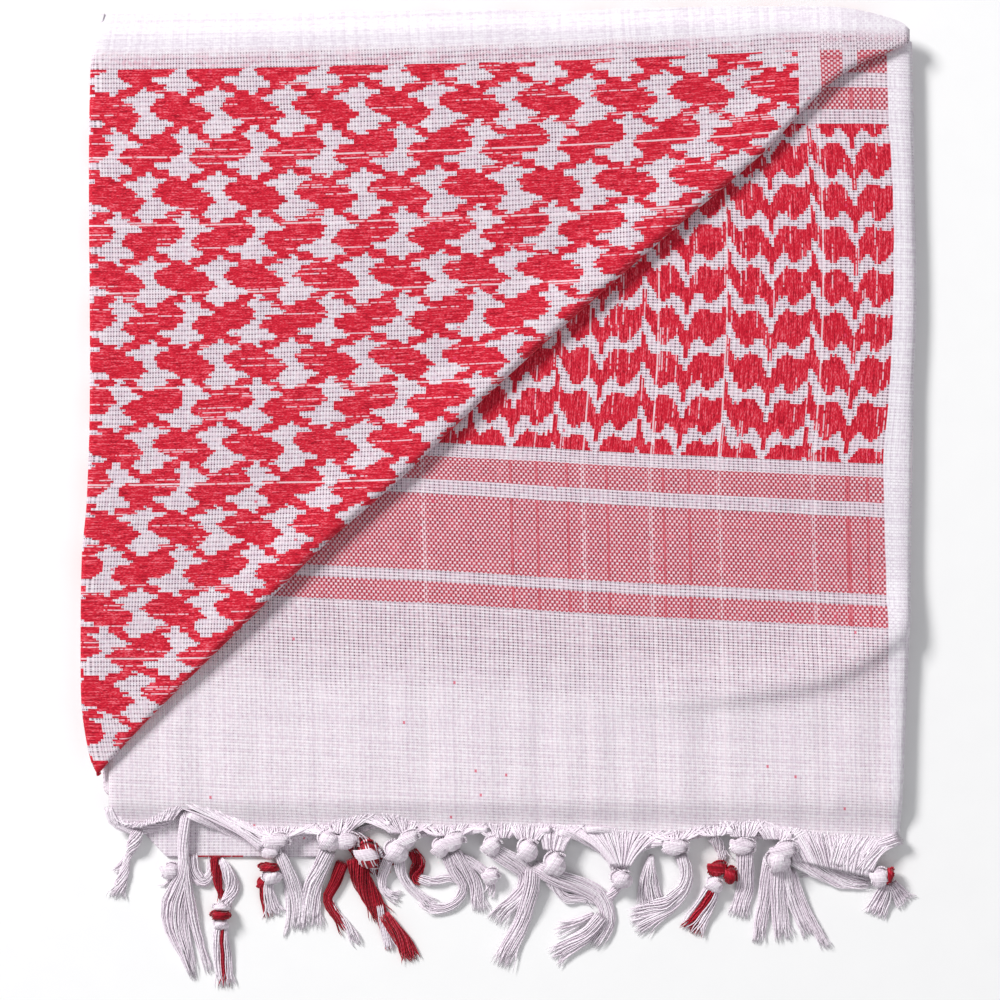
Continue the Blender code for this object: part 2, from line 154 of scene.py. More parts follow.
def add_piece(name, made, materials, wall=0):
    """Turns the bmesh into a piece in metres, with a cloth wall under its face if it has one."""
    bmesh.ops.scale(made, vec=(MM, MM, MM), verts=made.verts)
    mesh = bpy.data.meshes.new(name)
    made.to_mesh(mesh)
    made.free()
    mesh.uv_layers[0].name = "threads"
    mesh.shade_smooth()
    for material in materials:
        mesh.materials.append(material)
    piece = bpy.data.objects.new(name, mesh)
    bpy.context.scene.collection.objects.link(piece)
    if wall:
        solid = piece.modifiers.new("Cloth wall", "SOLIDIFY")
        solid.thickness = wall * MM
        solid.offset = -1
    return piece


class Value:
    """A socket of a node tree. Arithmetic and comparison on it make Math nodes."""

    def __init__(self, socket):
        self.socket = socket

    def __abs__(self):
        return calc("ABSOLUTE", self)

    def __gt__(self, other):
        return calc("GREATER_THAN", self, other)

    def __lt__(self, other):
        return calc("LESS_THAN", self, other)


for sign, operation in (("add", "ADD"), ("sub", "SUBTRACT"), ("mul", "MULTIPLY"), ("truediv", "DIVIDE")):
    setattr(Value, f"__{sign}__", lambda self, other, made=operation: calc(made, self, other))
    setattr(Value, f"__r{sign}__", lambda self, other, made=operation: calc(made, other, self))


def feed(source, socket):
    """Links a socket to its source, or sets it to a number or a colour."""
    if isinstance(source, Value):
        socket.id_data.links.new(source.socket, socket)
    else:
        socket.default_value = source


def add_node(tree, kind, *sources, **settings):
    """A node with its settings made and its first inputs fed from the sources."""
    made = tree.nodes.new(kind)
    for setting, value in settings.items():
        setattr(made, setting, value)
    for socket, source in zip(made.inputs, sources):
        feed(source, socket)
    return made


def tree_of(*sources):
    return next(source.socket.id_data for source in sources if isinstance(source, Value))


def calc(operation, *sources):
    """The result of a Math node."""
    return Value(add_node(tree_of(*sources), "ShaderNodeMath", *sources, operation=operation).outputs[0])


def floor(value):
    return calc("FLOOR", value)


def fract(value):
    return calc("FRACT", value)


def soft_step(low, high, value):
    """0 below low and 1 above high, with a soft step between. Low may be above high."""
    kind = "ShaderNodeMapRange"
    step = add_node(tree_of(value), kind, value, low, high, interpolation_type="SMOOTHSTEP")
    return Value(step.outputs[0])


def tint(share, first, second):
    """The first colour, going to the second by share."""
    made = add_node(tree_of(share), "ShaderNodeMix", data_type="RGBA")
    for slot, source in ((0, share), (6, first), (7, second)):
        feed(source, made.inputs[slot])
    return Value(made.outputs[2])


def flecks(x, y, detail=2):
    """Noise from 0 to 1 over two coordinates."""
    place = Value(add_node(tree_of(x, y), "ShaderNodeCombineXYZ", x, y).outputs[0])
    made = add_node(tree_of(place), "ShaderNodeTexNoise", place, noise_dimensions="2D")
    made.inputs["Scale"].default_value = 1
    made.inputs["Detail"].default_value = detail
    return Value(made.outputs[0])


def each(x, y):
    """A number from 0 to 1 for each whole x and y, with nothing shared between neighbours."""
    place = Value(add_node(tree_of(x, y), "ShaderNodeCombineXYZ", x, y).outputs[0])
    made = add_node(tree_of(place), "ShaderNodeTexWhiteNoise", place, noise_dimensions="2D")
    return Value(made.outputs[0])


def parts_of(tree, kind, source):
    """The parts of a colour or of a place."""
    return [Value(part) for part in add_node(tree, "ShaderNodeSeparate" + kind, source).outputs]


def new_group(name, inputs, outputs):
    """A shader node group of float and colour sockets, the values that come in, and the sockets to feed."""
    group = bpy.data.node_groups.new(name, "ShaderNodeTree")
    for label in inputs:
        group.interface.new_socket(label, in_out="INPUT", socket_type="NodeSocketFloat")
    for label in outputs:
        kind = "NodeSocketColor" if label == "Colour" else "NodeSocketFloat"
        group.interface.new_socket(label, in_out="OUTPUT", socket_type=kind)
    start, end = group.nodes.new("NodeGroupInput"), group.nodes.new("NodeGroupOutput")
    return group, [Value(start.outputs[label]) for label in inputs], end.inputs


def cotton_group():
    """Two-colour cotton cloth. White is 1 where the ground weave shows and 0 where red threads float
    over it along the picks. Holes is how open the ground is, and the holes are coloured dark as painted
    shade.
    Blush is how pink, and the last input darkens the red with painted shade in the gaps beside the floats."""
    labels = ["Dent", "Pick", "White", "Holes", "Blush", "Gap shade"]
    tree, (dent, pick, white, holes, pink, gap_shading), result = new_group(
        "Cotton weave", labels, ["Colour", "Height", "Rough"])

    # The ground weave has a hole between each two dents and each two picks, and finer slits beside it.
    to_dent = abs(fract(dent) - 0.5)
    to_pick = abs(fract(pick) - 0.5)
    crossing = each(floor(dent + 0.5), floor(pick + 0.5))
    reed_slit = soft_step(0.25, 0.45, to_dent)
    end_slit = soft_step(0.16, 0.03, to_dent) * 0.55
    pick_slit = soft_step(0.14, 0.42, to_pick)
    dot = calc("MAXIMUM", reed_slit, end_slit) * pick_slit
    pulled = flecks(dent * 0.2, pick * 0.1, detail=3)
    pulled = soft_step(0.35, 0.65, pulled) * 0.5 + 0.45
    dot = dot * (pulled + crossing * 0.6)
    slit = calc("MAXIMUM", reed_slit, pick_slit) * 0.24
    hole = calc("MAXIMUM", dot, slit) * holes
    hole = calc("MINIMUM", hole, 0.92)

    # Single threads: the warp ends, two to a dent, and the picks, with a slub here and there.
    end_number = floor(dent * 2)
    end_shade = each(end_number, 3)
    pick_shade = each(7, floor(pick))
    slub = flecks(dent * 2, pick * 0.6, detail=3)
    soft = (end_shade + pick_shade) * 0.5
    soft = soft * 0.35 + slub * 0.65
    ground = tint(soft_step(0.22, 0.7, soft), WHITE_DIM, WHITE_LIT)
    blush = flecks(dent * 1.3, pick * 0.8, detail=4)
    blush = soft_step(0.2, 0.7, blush) * pink
    ground = tint(blush, ground, PINK)
    # Painted shade: the holes between the threads take a dark colour.
    ground = tint(hole, ground, HOLE_SHADE)

    # Red floats: fine lines along the picks, painted rose highlights where they catch the light,
    # and painted shade in deep red where they dip.
    line = flecks(dent * 2.3, pick * 0.22, detail=3)
    fine = flecks(dent * 4.4, pick * 1.1, detail=3)
    broad = flecks(dent * 0.3, pick * 0.2, detail=3)
    lit = line * 0.5 + fine * 0.5
    # Painted shade: the furrows between the dents and between the two ends of a dent darken the floats.
    furrow = calc("MAXIMUM", soft_step(0.3, 0.48, to_dent), end_slit)
    lit = lit - furrow * 0.075
    red = tint(soft_step(0.33, 0.49, lit), RED_SHADED, RED)
    red = tint(soft_step(0.49, 0.66, lit), red, RED_HIGHLIGHT)
    red = tint(soft_step(0.45, 0.68, broad) * 0.4, red, RED_PATCH)

    # Here and there a white end shows as a dashed line through the red.
    stray = each(end_number, floor(pick * 0.07))
    dash = flecks(end_number, pick * 0.6)
    thin = abs(fract(dent * 2) - 0.5)
    stray = (stray > 0.91) * soft_step(0.34, 0.2, thin)
    stray = stray * soft_step(0.38, 0.5, dash)
    stray = stray * (white < 0.05)
    red = tint(stray * 0.8, red, DASH_PINK)

    # A few pale ends run the whole length of the cloth, and here and there a red fibre is caught in it.
    pale_end = each(end_number, 11) > 0.978
    breaks = soft_step(0.3, 0.46, flecks(end_number, pick * 0.35))
    pale_end = pale_end * breaks * soft_step(0.46, 0.26, thin)
    speck = each(end_number, floor(pick)) > 0.9992
    speck = speck * (pink > 0.03)
    colour = tint(white, red, ground)
    # Painted shade in the gaps beside the floats of the dotted check.
    colour = tint(gap_shading * 0.7, colour, GAP_SHADE)
    colour = tint(pale_end * 0.65, colour, PALE)
    colour = tint(speck * 0.75, colour, SPECK_RED)
    feed(colour, result["Colour"])

    # Height: crossing threads in the ground, long soft lines in the floats.
    warp = calc("SINE", dent * (4 * math.pi))
    weft = calc("SINE", pick * (2 * math.pi))
    plain = (warp + weft) * 0.15 - hole
    floats = lit * 1.6
    raised = add_node(tree, "ShaderNodeMix", white, data_type="FLOAT")
    feed(floats, raised.inputs[2])
    feed(plain, raised.inputs[3])
    feed(Value(raised.outputs[0]), result["Height"])
    feed(0.95 - lit * 0.2, result["Rough"])
    return tree


def chart_row(tree, rows, whole, value):
    """Reads a chart of the (first, last) picks that are white, as a middle and a half width. A chart of half
    dents is read as it stands, and a chart of whole dents has a step between its rows."""
    half_dent = floor(value * 2) + 0.5
    ramp = add_node(tree, "ShaderNodeValToRGB")
    stops = ramp.color_ramp.elements
    stops.remove(stops[1])
    if len(rows) == whole:
        half_dent = half_dent * (0.5 * BLEND)
        full_dent = (floor(value) + 0.5) * (1 - BLEND)
        place = (half_dent + full_dent) / whole
        spots = [(k + 0.5, row) for k, row in enumerate(rows)]
    else:
        ramp.color_ramp.interpolation = "CONSTANT"
        place = half_dent / (2 * whole)
        spots = [(k / 2, row) for k, row in enumerate(rows + [(0, 0)])]
    feed(place, ramp.inputs[0])
    for k, (at, (first, last)) in enumerate(spots):
        stop = stops[0] if k == 0 else stops.new(at / whole)
        stop.position = at / whole
        stop.color = ((first + last) / 2 / CHART_SPAN + 0.5, (last - first) / 2 / CHART_SPAN, 0, 1)
    middle, half, _ = parts_of(tree, "Color", Value(ramp.outputs[0]))
    return (middle - 0.5) * CHART_SPAN, half * CHART_SPAN


def motif(tree, dent, pick, rows, dents, picks, first_dent, first_pick, uneven):
    """1 inside a woven motif that repeats every so many dents and picks, with edges on whole threads."""
    dent = dent - first_dent
    pick = pick - first_pick
    row = dent - dents * floor(dent / dents)
    middle, half = chart_row(tree, rows, dents, row)
    on_thread = floor(pick) + 0.5
    across = on_thread - middle + picks / 2
    repeat = floor(across / picks)
    away = across - repeat * picks
    slip = each(floor(dent * 2), repeat)
    slip = (slip - 0.5) * uneven
    away = abs(away - picks / 2 + slip)
    return away < half


# Red and white houndstooth, charted by half dents: the white threads run from first to last pick.
TOOTH_DENTS, TOOTH_PICKS = 18, 24
TOOTH_A = [(1.2, 2.9), (1, 3), (-1.8, 4.8), (-1.9, 8.3), (-5, 8.1), (-6.9, 5.2), (-6.5, 4.9),
           (-3.7, 3.2), (-3.6, 3.1), (-1.9, 3.1), (-1.9, 3.9), (-0.4, 5.1), (0.3, 5.4), (0.2, 7),
           (-1, 9.5), (-1.8, 11.2), (-1.9, 11), (-3.3, 7.4), (-4, 7.2), (-2.6, 7), (-0.9, 3.1),
           (-0.8, 3)]
TOOTH_B = [(0.2, 2.9), (0.3, 2.9), (0.1, 3), (-2.5, 6), (-2, 6.1), (-1, 6.2), (-0.5, 8.5),
           (0, 10.1), (0.2, 9.7), (0.4, 5), (0.2, 4.9), (-0.5, 3.6), (-1.3, 3), (-2.6, 2.9),
           (-3.5, 2.9), (-8.5, 4.4), (-8.5, 5.4), (-8, 6.6), (-4.3, 7), (-4.2, 6.7), (-4.2, 2.8),
           (0.2, 2.6), (0.4, 2.6)]
SECOND_TOOTH_DENT, SECOND_TOOTH_PICK = 8.5, -11


def houndstooth_group():
    tree, (dent, pick), result = new_group("Houndstooth chart", ["Dent", "Pick"], ["White"])
    first = motif(tree, dent, pick, TOOTH_A, TOOTH_DENTS, TOOTH_PICKS, 0, 0, 1.5)
    second = motif(tree, dent, pick, TOOTH_B, TOOTH_DENTS, TOOTH_PICKS,
                   SECOND_TOOTH_DENT, SECOND_TOOTH_PICK, 1.5)
    feed(calc("MAXIMUM", first, second), result["White"])
    return tree


def check_group():
    """Red stripe of short pinkish white floats, set as bricks, with painted shade in the gap
    at both sides of each.
    """
    tree, (dent, pick), result = new_group("Dotted check", ["Dent", "Pick"], ["White", "Gap shade"])
    row = floor(pick)
    shift = calc("FLOORED_MODULO", row, 2) * 0.5
    slide = dent + shift
    side = abs(fract(slide) - 0.5)
    up = abs(fract(pick) - 0.5)
    each_dot = each(floor(slide), row)
    dot = soft_step(0.34, 0.16, side) * soft_step(0.5, 0.26, up)
    dot = dot * (0.7 + each_dot * 0.2)
    red_end = each(floor(dent * 2), 5) > 0.965
    dot = dot * (1 - red_end * 0.8)
    feed(dot * 0.84 + 0.16, result["White"])
    # Painted shade: the gap at each side of a float, a little darker for some floats.
    gap = soft_step(0.28, 0.44, side) * soft_step(0.5, 0.3, up)
    gap = gap * (0.5 + each_dot * 0.5)
    feed(gap, result["Gap shade"])
    return tree


COTTON = cotton_group()
HOUNDSTOOTH = houndstooth_group()
CHECK = check_group()


def uv_parts(tree):
    """The two parts of the piece's own UV map."""
    lay = Value(add_node(tree, "ShaderNodeUVMap", uv_map="threads").outputs[0])
    return parts_of(tree, "XYZ", lay)[:2]


def thread_place(tree):
    """The place in the weave, in dents across and picks along."""
    across, along = uv_parts(tree)
    return across / (DENT * MM), along / (PICK * MM)


def use_group(tree, group, *sources):
    made = tree.nodes.new("ShaderNodeGroup")
    made.node_tree = group
    for socket, source in zip(made.inputs, sources):
        feed(source, socket)
    return [Value(socket) for socket in made.outputs]


def new_material(name):
    material = bpy.data.materials.new(name)
    material.use_nodes = True
    return material, material.node_tree, material.node_tree.nodes["Principled BSDF"]


def finish(tree, shader, colour, rough, height, strength, distance, sheen, sheen_rough):
    """Joins colour, roughness and relief to the shader, with a matt face and a soft nap."""
    bump = add_node(tree, "ShaderNodeBump")
    bump.inputs["Strength"].default_value = strength
    bump.inputs["Distance"].default_value = distance
    feed(height, bump.inputs["Height"])
    feed(colour, shader.inputs["Base Color"])
    feed(rough, shader.inputs["Roughness"])
    feed(Value(bump.outputs[0]), shader.inputs["Normal"])
    shader.inputs["Specular IOR Level"].default_value = 0.2
    shader.inputs["Sheen Weight"].default_value = sheen
    shader.inputs["Sheen Roughness"].default_value = sheen_rough


def cotton_finish(tree, shader, *weave):
    """Makes the shader the cotton weave of these values, in the order of the group's inputs."""
    colour, height, rough = use_group(tree, COTTON, *weave)
    finish(tree, shader, colour, rough, height,
           strength=0.7, distance=0.22 * MM, sheen=0.12, sheen_rough=0.5)


# The plies are plain white at the end of the cloth and along its selvedge.
PLAIN_FRONT, PLAIN_RIGHT = -55, 165


def ply_material():
    material, tree, shader = new_material("folded_cotton")
    dent, pick = thread_place(tree)
    white = use_group(tree, HOUNDSTOOTH, dent, pick)[0]
    place = Value(add_node(tree, "ShaderNodeTexCoord").outputs["Object"])
    x, y, _ = parts_of(tree, "XYZ", place)
    plain_end = calc("MAXIMUM", y < PLAIN_FRONT * MM, x > PLAIN_RIGHT * MM)
    cotton_finish(tree, shader, dent, pick, calc("MAXIMUM", white, plain_end), 0.6, 0.2)
    return material


CORNER_STEPS = 6
SIDE_STEPS = 46
CORNER_RADIUS = 7
PLY_PROFILE = [(1.15, 0), (0.45, 0.12), (0.08, 0.3), (0, 0.5), (0.08, 0.7), (0.45, 0.88), (1.15, 1)]
Ply = namedtuple("Ply", "low high inset")
PLIES = [Ply(0, 1.7, 3.4), Ply(1.6, 3, 2.2), Ply(2.9, 4.4, 3), Ply(4.3, 5.7, 1.9), Ply(5.6, 7, 3.6)]
CORNER_PLIES = [Ply(7, 9, 0), Ply(8.9, 10.9, 1.2)]


def side_steps(start, end):
    """Evenly spaced values along a side, short of its corners by their radius."""
    way = 1 if end > start else -1
    return [mix(start + way * CORNER_RADIUS, end - way * CORNER_RADIUS, k / SIDE_STEPS)
            for k in range(SIDE_STEPS + 1)]


def pile_outline():
    """The pile from above, anticlockwise, as points with their way in."""
    left = [(Vector((smooth(LEFT_EDGE, "y", "x", y), y)), Vector((1, 0)))
            for y in side_steps(210, STACK_FRONT)]
    front = [(Vector((x, STACK_FRONT)), Vector((0, 1))) for x in side_steps(-174, 175)]
    right = [(Vector((smooth(RIGHT_EDGE, "y", "x", y), y)), Vector((-1, 0)))
             for y in side_steps(STACK_FRONT, 200)]
    top = [(Vector((x, smooth(TOP_EDGE, "x", "y", x))), Vector((0, -1)))
           for x in side_steps(178, -174)]
    loop = []
    sides = [left, front, right, top]
    for k, side in enumerate(sides):
        (start, way_from), (end, way_to) = sides[k - 1][-1], side[0]
        pivot = Vector((start.x, end.y)) if way_from.x == 0 else Vector((end.x, start.y))
        for step in range(1, CORNER_STEPS):
            turn = step / CORNER_STEPS * math.pi / 2
            spot = pivot + (start - pivot) * math.cos(turn) + (end - pivot) * math.sin(turn)
            loop.append((spot, (way_from + way_to * (step / CORNER_STEPS)).normalized()))
        loop.extend(side)
    return loop


def corner_outline():
    """The rounded triangle of the plies inside the turned corner."""
    behind_fold, from_top, low_x, high_x, steps = 17.5, 6, -174, 150, 90
    xs = [mix(low_x, high_x, k / steps) for k in range(steps + 1)]
    lower = [(Vector((x, smooth(DIAGONAL, "x", "y", x) + behind_fold)), Vector((-0.7, 0.7))) for x in xs]
    upper = [(Vector((x, smooth(TOP_EDGE, "x", "y", x) - from_top)), Vector((0, -1))) for x in reversed(xs)]
    return lower + upper


def add_ply(made, outline, ply, seed):
    """One folded ply: a soft lip all round, open inside."""
    lengths = [0]
    for (before, _), (after, _) in zip(outline, outline[1:] + outline[:1]):
        lengths.append(lengths[-1] + (after - before).length)

    def place(i, j):
        spot, way = outline[i % len(outline)]
        pull, rise = PLY_PROFILE[j]
        ragged = 0.9 * wave(spot.x, spot.y, 38, seed) + 0.35 * wave(spot.x, spot.y, 9, seed)
        spot = spot + way * (ply.inset + pull + ragged)
        lift = 0.25 * wave(spot.x, spot.y, 26, seed + 4) if 0 < j < 6 else 0
        height = max(mix(ply.low, ply.high, rise) + lift, 0)
        return (spot.x, spot.y, height), (lengths[i] + 40 * seed, j * 0.8 + 15 * seed)

    verts = cloth_sheet(made, len(outline), len(PLY_PROFILE) - 1, place)
    bmesh.ops.remove_doubles(made, verts=verts, dist=1e-4)
    rims = [edge for edge in made.edges if edge.is_boundary]
    bmesh.ops.holes_fill(made, edges=rims, sides=0)


def build_pile():
    made = bmesh.new()
    for k, ply in enumerate(PLIES):
        add_ply(made, pile_outline(), ply, 1.7 * k + 0.3)
    for k, ply in enumerate(CORNER_PLIES):
        add_ply(made, corner_outline(), ply, 1.3 * k + 11.3)
    bmesh.ops.recalc_face_normals(made, faces=made.faces)
    return made


pile = add_piece("folded_plies", build_pile(), [ply_material()])
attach(pile, "root")
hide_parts("folded_layers")


# ---- End panel: the scalloped end third, from under the turned corner to the selvedge and the fringe. ----
# One layer of the cloth with its right side up: rows of red scallops, then a triple dotted stripe, then
# an open white end whose warp threads are gathered into knots along the raw edge.

PANEL_ACROSS = 150
PANEL_ALONG = 130
TUCK = 14.5
PANEL_LEFT = BOTTOM_EDGE[0].x
PANEL_RIGHT = 186
DROOP_START = -133.5
DROOP_LENGTH = 14
DROOP = 3.6
SIDE_DROOP = 1.4
SIDE_DROOP_LENGTH = 3.5
ROW_SLOPE = 0.047
COLUMN_LEAN = 0.0245
ROW_MIDDLE = 90
COLUMN_MIDDLE = 120
SAG = 1.4
PANEL_END_BOW = (1.27, 0.17, 2.4, -0.56, 1.3, -6.34)
PANEL_PICK_BOW = (0.23, 1.73, 0.99, 0.92, 2.56, -3.99)

# The soft crease that crosses the white end from the right edge and dies out.
Crease = namedtuple("Crease", "x y height")
END_CREASE = [
    Crease(40, -92, 0), Crease(78, -89.5, 1.4), Crease(118, -84.5, 2.7), Crease(150, -77.5, 3.4),
    Crease(169, -67, 3.4), Crease(183.5, -56, 3),
]
CREASE_WIDTH = 7

# The scallops, charted dent by dent across one repeat: first and last white pick about the row's line.
SCALLOP_DENTS, SCALLOP_PICKS = 18, 14
SCALLOPS = [(5.2, 9.3), (-0.6, 6.8), (-2.4, 4.3), (-2.4, 1.9), (-0.9, 0.9), (-0.7, 1.6), (-1, 3.7),
            (-2.2, 3.5), (-5.4, 1.7), (-8.4, -3.9), (-4.6, 1.5), (-2, 3.5), (-0.8, 3.8), (-0.6, 1.6),
            (-1.2, 0.9), (-2.1, 2), (-1.7, 3.7), (-0.5, 5.3)]
SPIKE_AT = 139
ROW_AT = 105.6

# Where one band of the end panel gives way to the next, in millimetres up the cloth.
Band = namedtuple("Band", "start kind")
PANEL_BANDS = [
    Band(-170, "ground"), Band(-52.4, "check"), Band(-42.3, "ground"), Band(-37.2, "check"),
    Band(-2.9, "ground"), Band(3.8, "check"), Band(14.4, "ground"), Band(21.4, "figure"),
    Band(169.3, "ground"), Band(175.6, "check"), Band(185.6, "ground"), Band(191.6, "check"),
]
BAND_COLOURS = {"ground": (0, 0, 0, 1), "check": (1, 0, 0, 1), "figure": (0, 1, 0, 1)}
PANEL_LENGTH = 420
SELVEDGE_AT = 174.9


def crease_height(x, y):
    """The height that the crease adds: steep on its near side, long on its far side."""
    if x < END_CREASE[0].x:
        return 0
    away = (y - smooth(END_CREASE, "x", "y", x)) / CREASE_WIDTH
    spread = 2.6 if away > 0 else 0.7
    return smooth(END_CREASE, "x", "height", x) * math.exp(-((away / spread) ** 2))


def panel_height(x, y, from_right):
    """The height of the panel's upper face, with the small waves of a cloth laid by hand."""
    z = PANEL_TOP + crease_height(x, y)
    z -= DROOP * ease((DROOP_START - y) / DROOP_LENGTH)
    z -= SIDE_DROOP * (1 - ease(from_right / SIDE_DROOP_LENGTH))
    near_end = ease((-60 - y) / 50)
    z += 0.22 * wave(x, y, 34, 2) + 0.10 * wave(x, y, 11, 5)
    z += near_end * (0.8 * wave(x * 2.4, y * 0.5, 30, 8) + 0.3 * wave(x * 3, y, 16, 3))
    return z


def bands_ramp(tree, bands, place):
    """Red where the bands are dotted check, green where they are figured."""
    ramp = add_node(tree, "ShaderNodeValToRGB", place)
    ramp.color_ramp.interpolation = "CONSTANT"
    stops = ramp.color_ramp.elements
    stops.remove(stops[1])
    stops[0].color = BAND_COLOURS[bands[0].kind]
    for band in bands[1:]:
        stops.new((band.start - bands[0].start) / PANEL_LENGTH).color = BAND_COLOURS[band.kind]
    return parts_of(tree, "Color", Value(ramp.outputs[0]))


def banded_white(tree, dent, pick, bands, figure):
    """The mask of a banded cloth's white, how far its holes are shifted,
    and the painted shade of its gaps.
    """
    up = pick * PICK
    place = (up - bands[0].start) / PANEL_LENGTH
    in_check, in_figure, _ = bands_ramp(tree, bands, place)
    check, gap = use_group(tree, CHECK, dent, pick)
    red = in_check * (1 - check)
    red = red + in_figure * (1 - figure)
    odd_row = calc("FLOORED_MODULO", floor(pick), 2)
    bricks = odd_row * 0.5 * in_check
    return 1 - red, bricks, gap * in_check


def scalloped_material():
    material, tree, shader = new_material("scalloped_cotton")
    dent, pick = thread_place(tree)
    figure = motif(tree, dent, pick, SCALLOPS, SCALLOP_DENTS, SCALLOP_PICKS,
                   SPIKE_AT / DENT - 0.5, ROW_AT / PICK, 1)
    white, bricks, gap_shading = banded_white(tree, dent, pick, PANEL_BANDS, figure)
    edge = dent > SELVEDGE_AT / DENT
    white = calc("MAXIMUM", white, edge)
    gap_shading = gap_shading * (1 - edge)
    up = pick * PICK
    holes = 0.32 + soft_step(-105, -62, up) * 0.68
    holes = holes * (1 - edge * 0.75)
    blush = 0.38 + soft_step(-55, -100, up) * -0.22
    blush = blush * (1 - edge)
    cotton_finish(tree, shader, dent + bricks, pick, white, holes, blush, gap_shading)
    return material


def panel_threads(x, y):
    """The place in the weave of a point of the panel: dents across, picks up from the row of spikes."""
    drift = 0.2 * wave(x, y, 60, 21) + 0.25 * wave(x, y, 14, 22)
    sway = 0.2 * wave(x, y, 60, 23) + 0.2 * wave(x, y, 14, 24)
    far_x = min(max((x - 90) / 100, -0.75), 0.75)
    far_y = min(max((y - 100) / 100, -0.8), 0.7)
    dents = x + COLUMN_LEAN * (y - COLUMN_MIDDLE) + drift - bow(far_x, far_y, PANEL_END_BOW)
    in_figure = ease((y - 8) / 22)
    sag = SAG * ease((x + 40) / 115) * ease((30 - y) / 20) * ease((y + 95) / 40)
    picks = y + ROW_SLOPE * (x - ROW_MIDDLE) + sway + sag - in_figure * bow(far_x, far_y, PANEL_PICK_BOW)
    return dents, picks


def panel_corner(i, j):
    width = PANEL_RIGHT - PANEL_LEFT
    nominal = mix(PANEL_LEFT, PANEL_RIGHT, (i / PANEL_ACROSS) ** 0.97)
    from_right = PANEL_RIGHT - nominal
    low = smooth(BOTTOM_EDGE, "x", "y", nominal)
    high = min(smooth(DIAGONAL, "x", "y", nominal) + TUCK, smooth(TOP_EDGE, "x", "y", nominal) - 3)
    y = mix(low, high, j / PANEL_ALONG)
    share = (1 - from_right / width) ** 3
    x = nominal + (smooth(RIGHT_EDGE, "y", "x", y) - PANEL_RIGHT) * share
    return (x, y, panel_height(x, y, from_right)), panel_threads(x, y)


def add_sheet(name, across, along, place, material, wall=WALL - 0.1):
    """A piece of one layer of cloth."""
    made = bmesh.new()
    cloth_sheet(made, across, along, place)
    return add_piece(name, made, [material], wall=wall)


panel = add_sheet("scalloped_panel", PANEL_ACROSS, PANEL_ALONG, panel_corner, scalloped_material())
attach(panel, "root")
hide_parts("end_panel")


# ---- Corner flap: the turned-back corner, with its free selvedge, its left fold and its soft roll. ----
# The next third with its right side up: rows of red and white houndstooth between a white selvedge along
# the top and the triple dotted stripe that runs into the end panel at the corner of the fold.

LEFT_ROLL_STEPS = 10
FLAP_ACROSS = 132
FLAP_ALONG = 104
ROLL_STEPS = 18
LEFT_ROLL_WIDTH = 3
RETURN = 6
SETTLE = 34
EDGE_DROOP = 2.6
EDGE_DROOP_LENGTH = 10
FLAP_LEFT = -186.6
FLAP_RIGHT = 183
TOOTH_ROW_AT = 191.8
TOOTH_ROW_X = -178
TOOTH_SLOPE = 0.0246
TOOTH_AT = -159.6
TOOTH_FIRST_DENT = 3.8
SELVEDGE_DENTS = 0.1
SELVEDGE_SLOPE = 0.0079
FLAP_END_BOW = (0.39, -0.5, 1.1, -1.02, -0.05, -0.91)
FLAP_PICK_BOW = (0.38, 1.98, -0.31, 1.24, 0.66, -2.07)
FLAP_BANDS = [
    Band(-260, "figure"), Band(125.1, "ground"), Band(134.7, "check"), Band(143.6, "ground"),
    Band(151.5, "check"),
]


def flap_x(nominal, y):
    """Moves a column's points with the curve of the left edge, less and less towards the right."""
    share = max(0, 1 - (nominal - FLAP_LEFT) / 120)
    return nominal + (smooth(LEFT_EDGE, "y", "x", y) - FLAP_LEFT) * share**2


def flap_column(i):
    """A column's nominal x, its height as a share of the full height, and its place along the picks."""
    if i < LEFT_ROLL_STEPS:
        turn = mix(-62, 80, i / (LEFT_ROLL_STEPS - 1)) * math.pi / 180
        share = 0.5 + 0.5 * math.sin(turn)
        return FLAP_LEFT + LEFT_ROLL_WIDTH * (1 - math.cos(turn)), share, FLAP_LEFT + 3 * turn
    first = FLAP_LEFT + 2 * LEFT_ROLL_WIDTH
    nominal = mix(first, FLAP_RIGHT, ((i - LEFT_ROLL_STEPS) / FLAP_ACROSS) ** 0.96)
    return nominal, 1, nominal


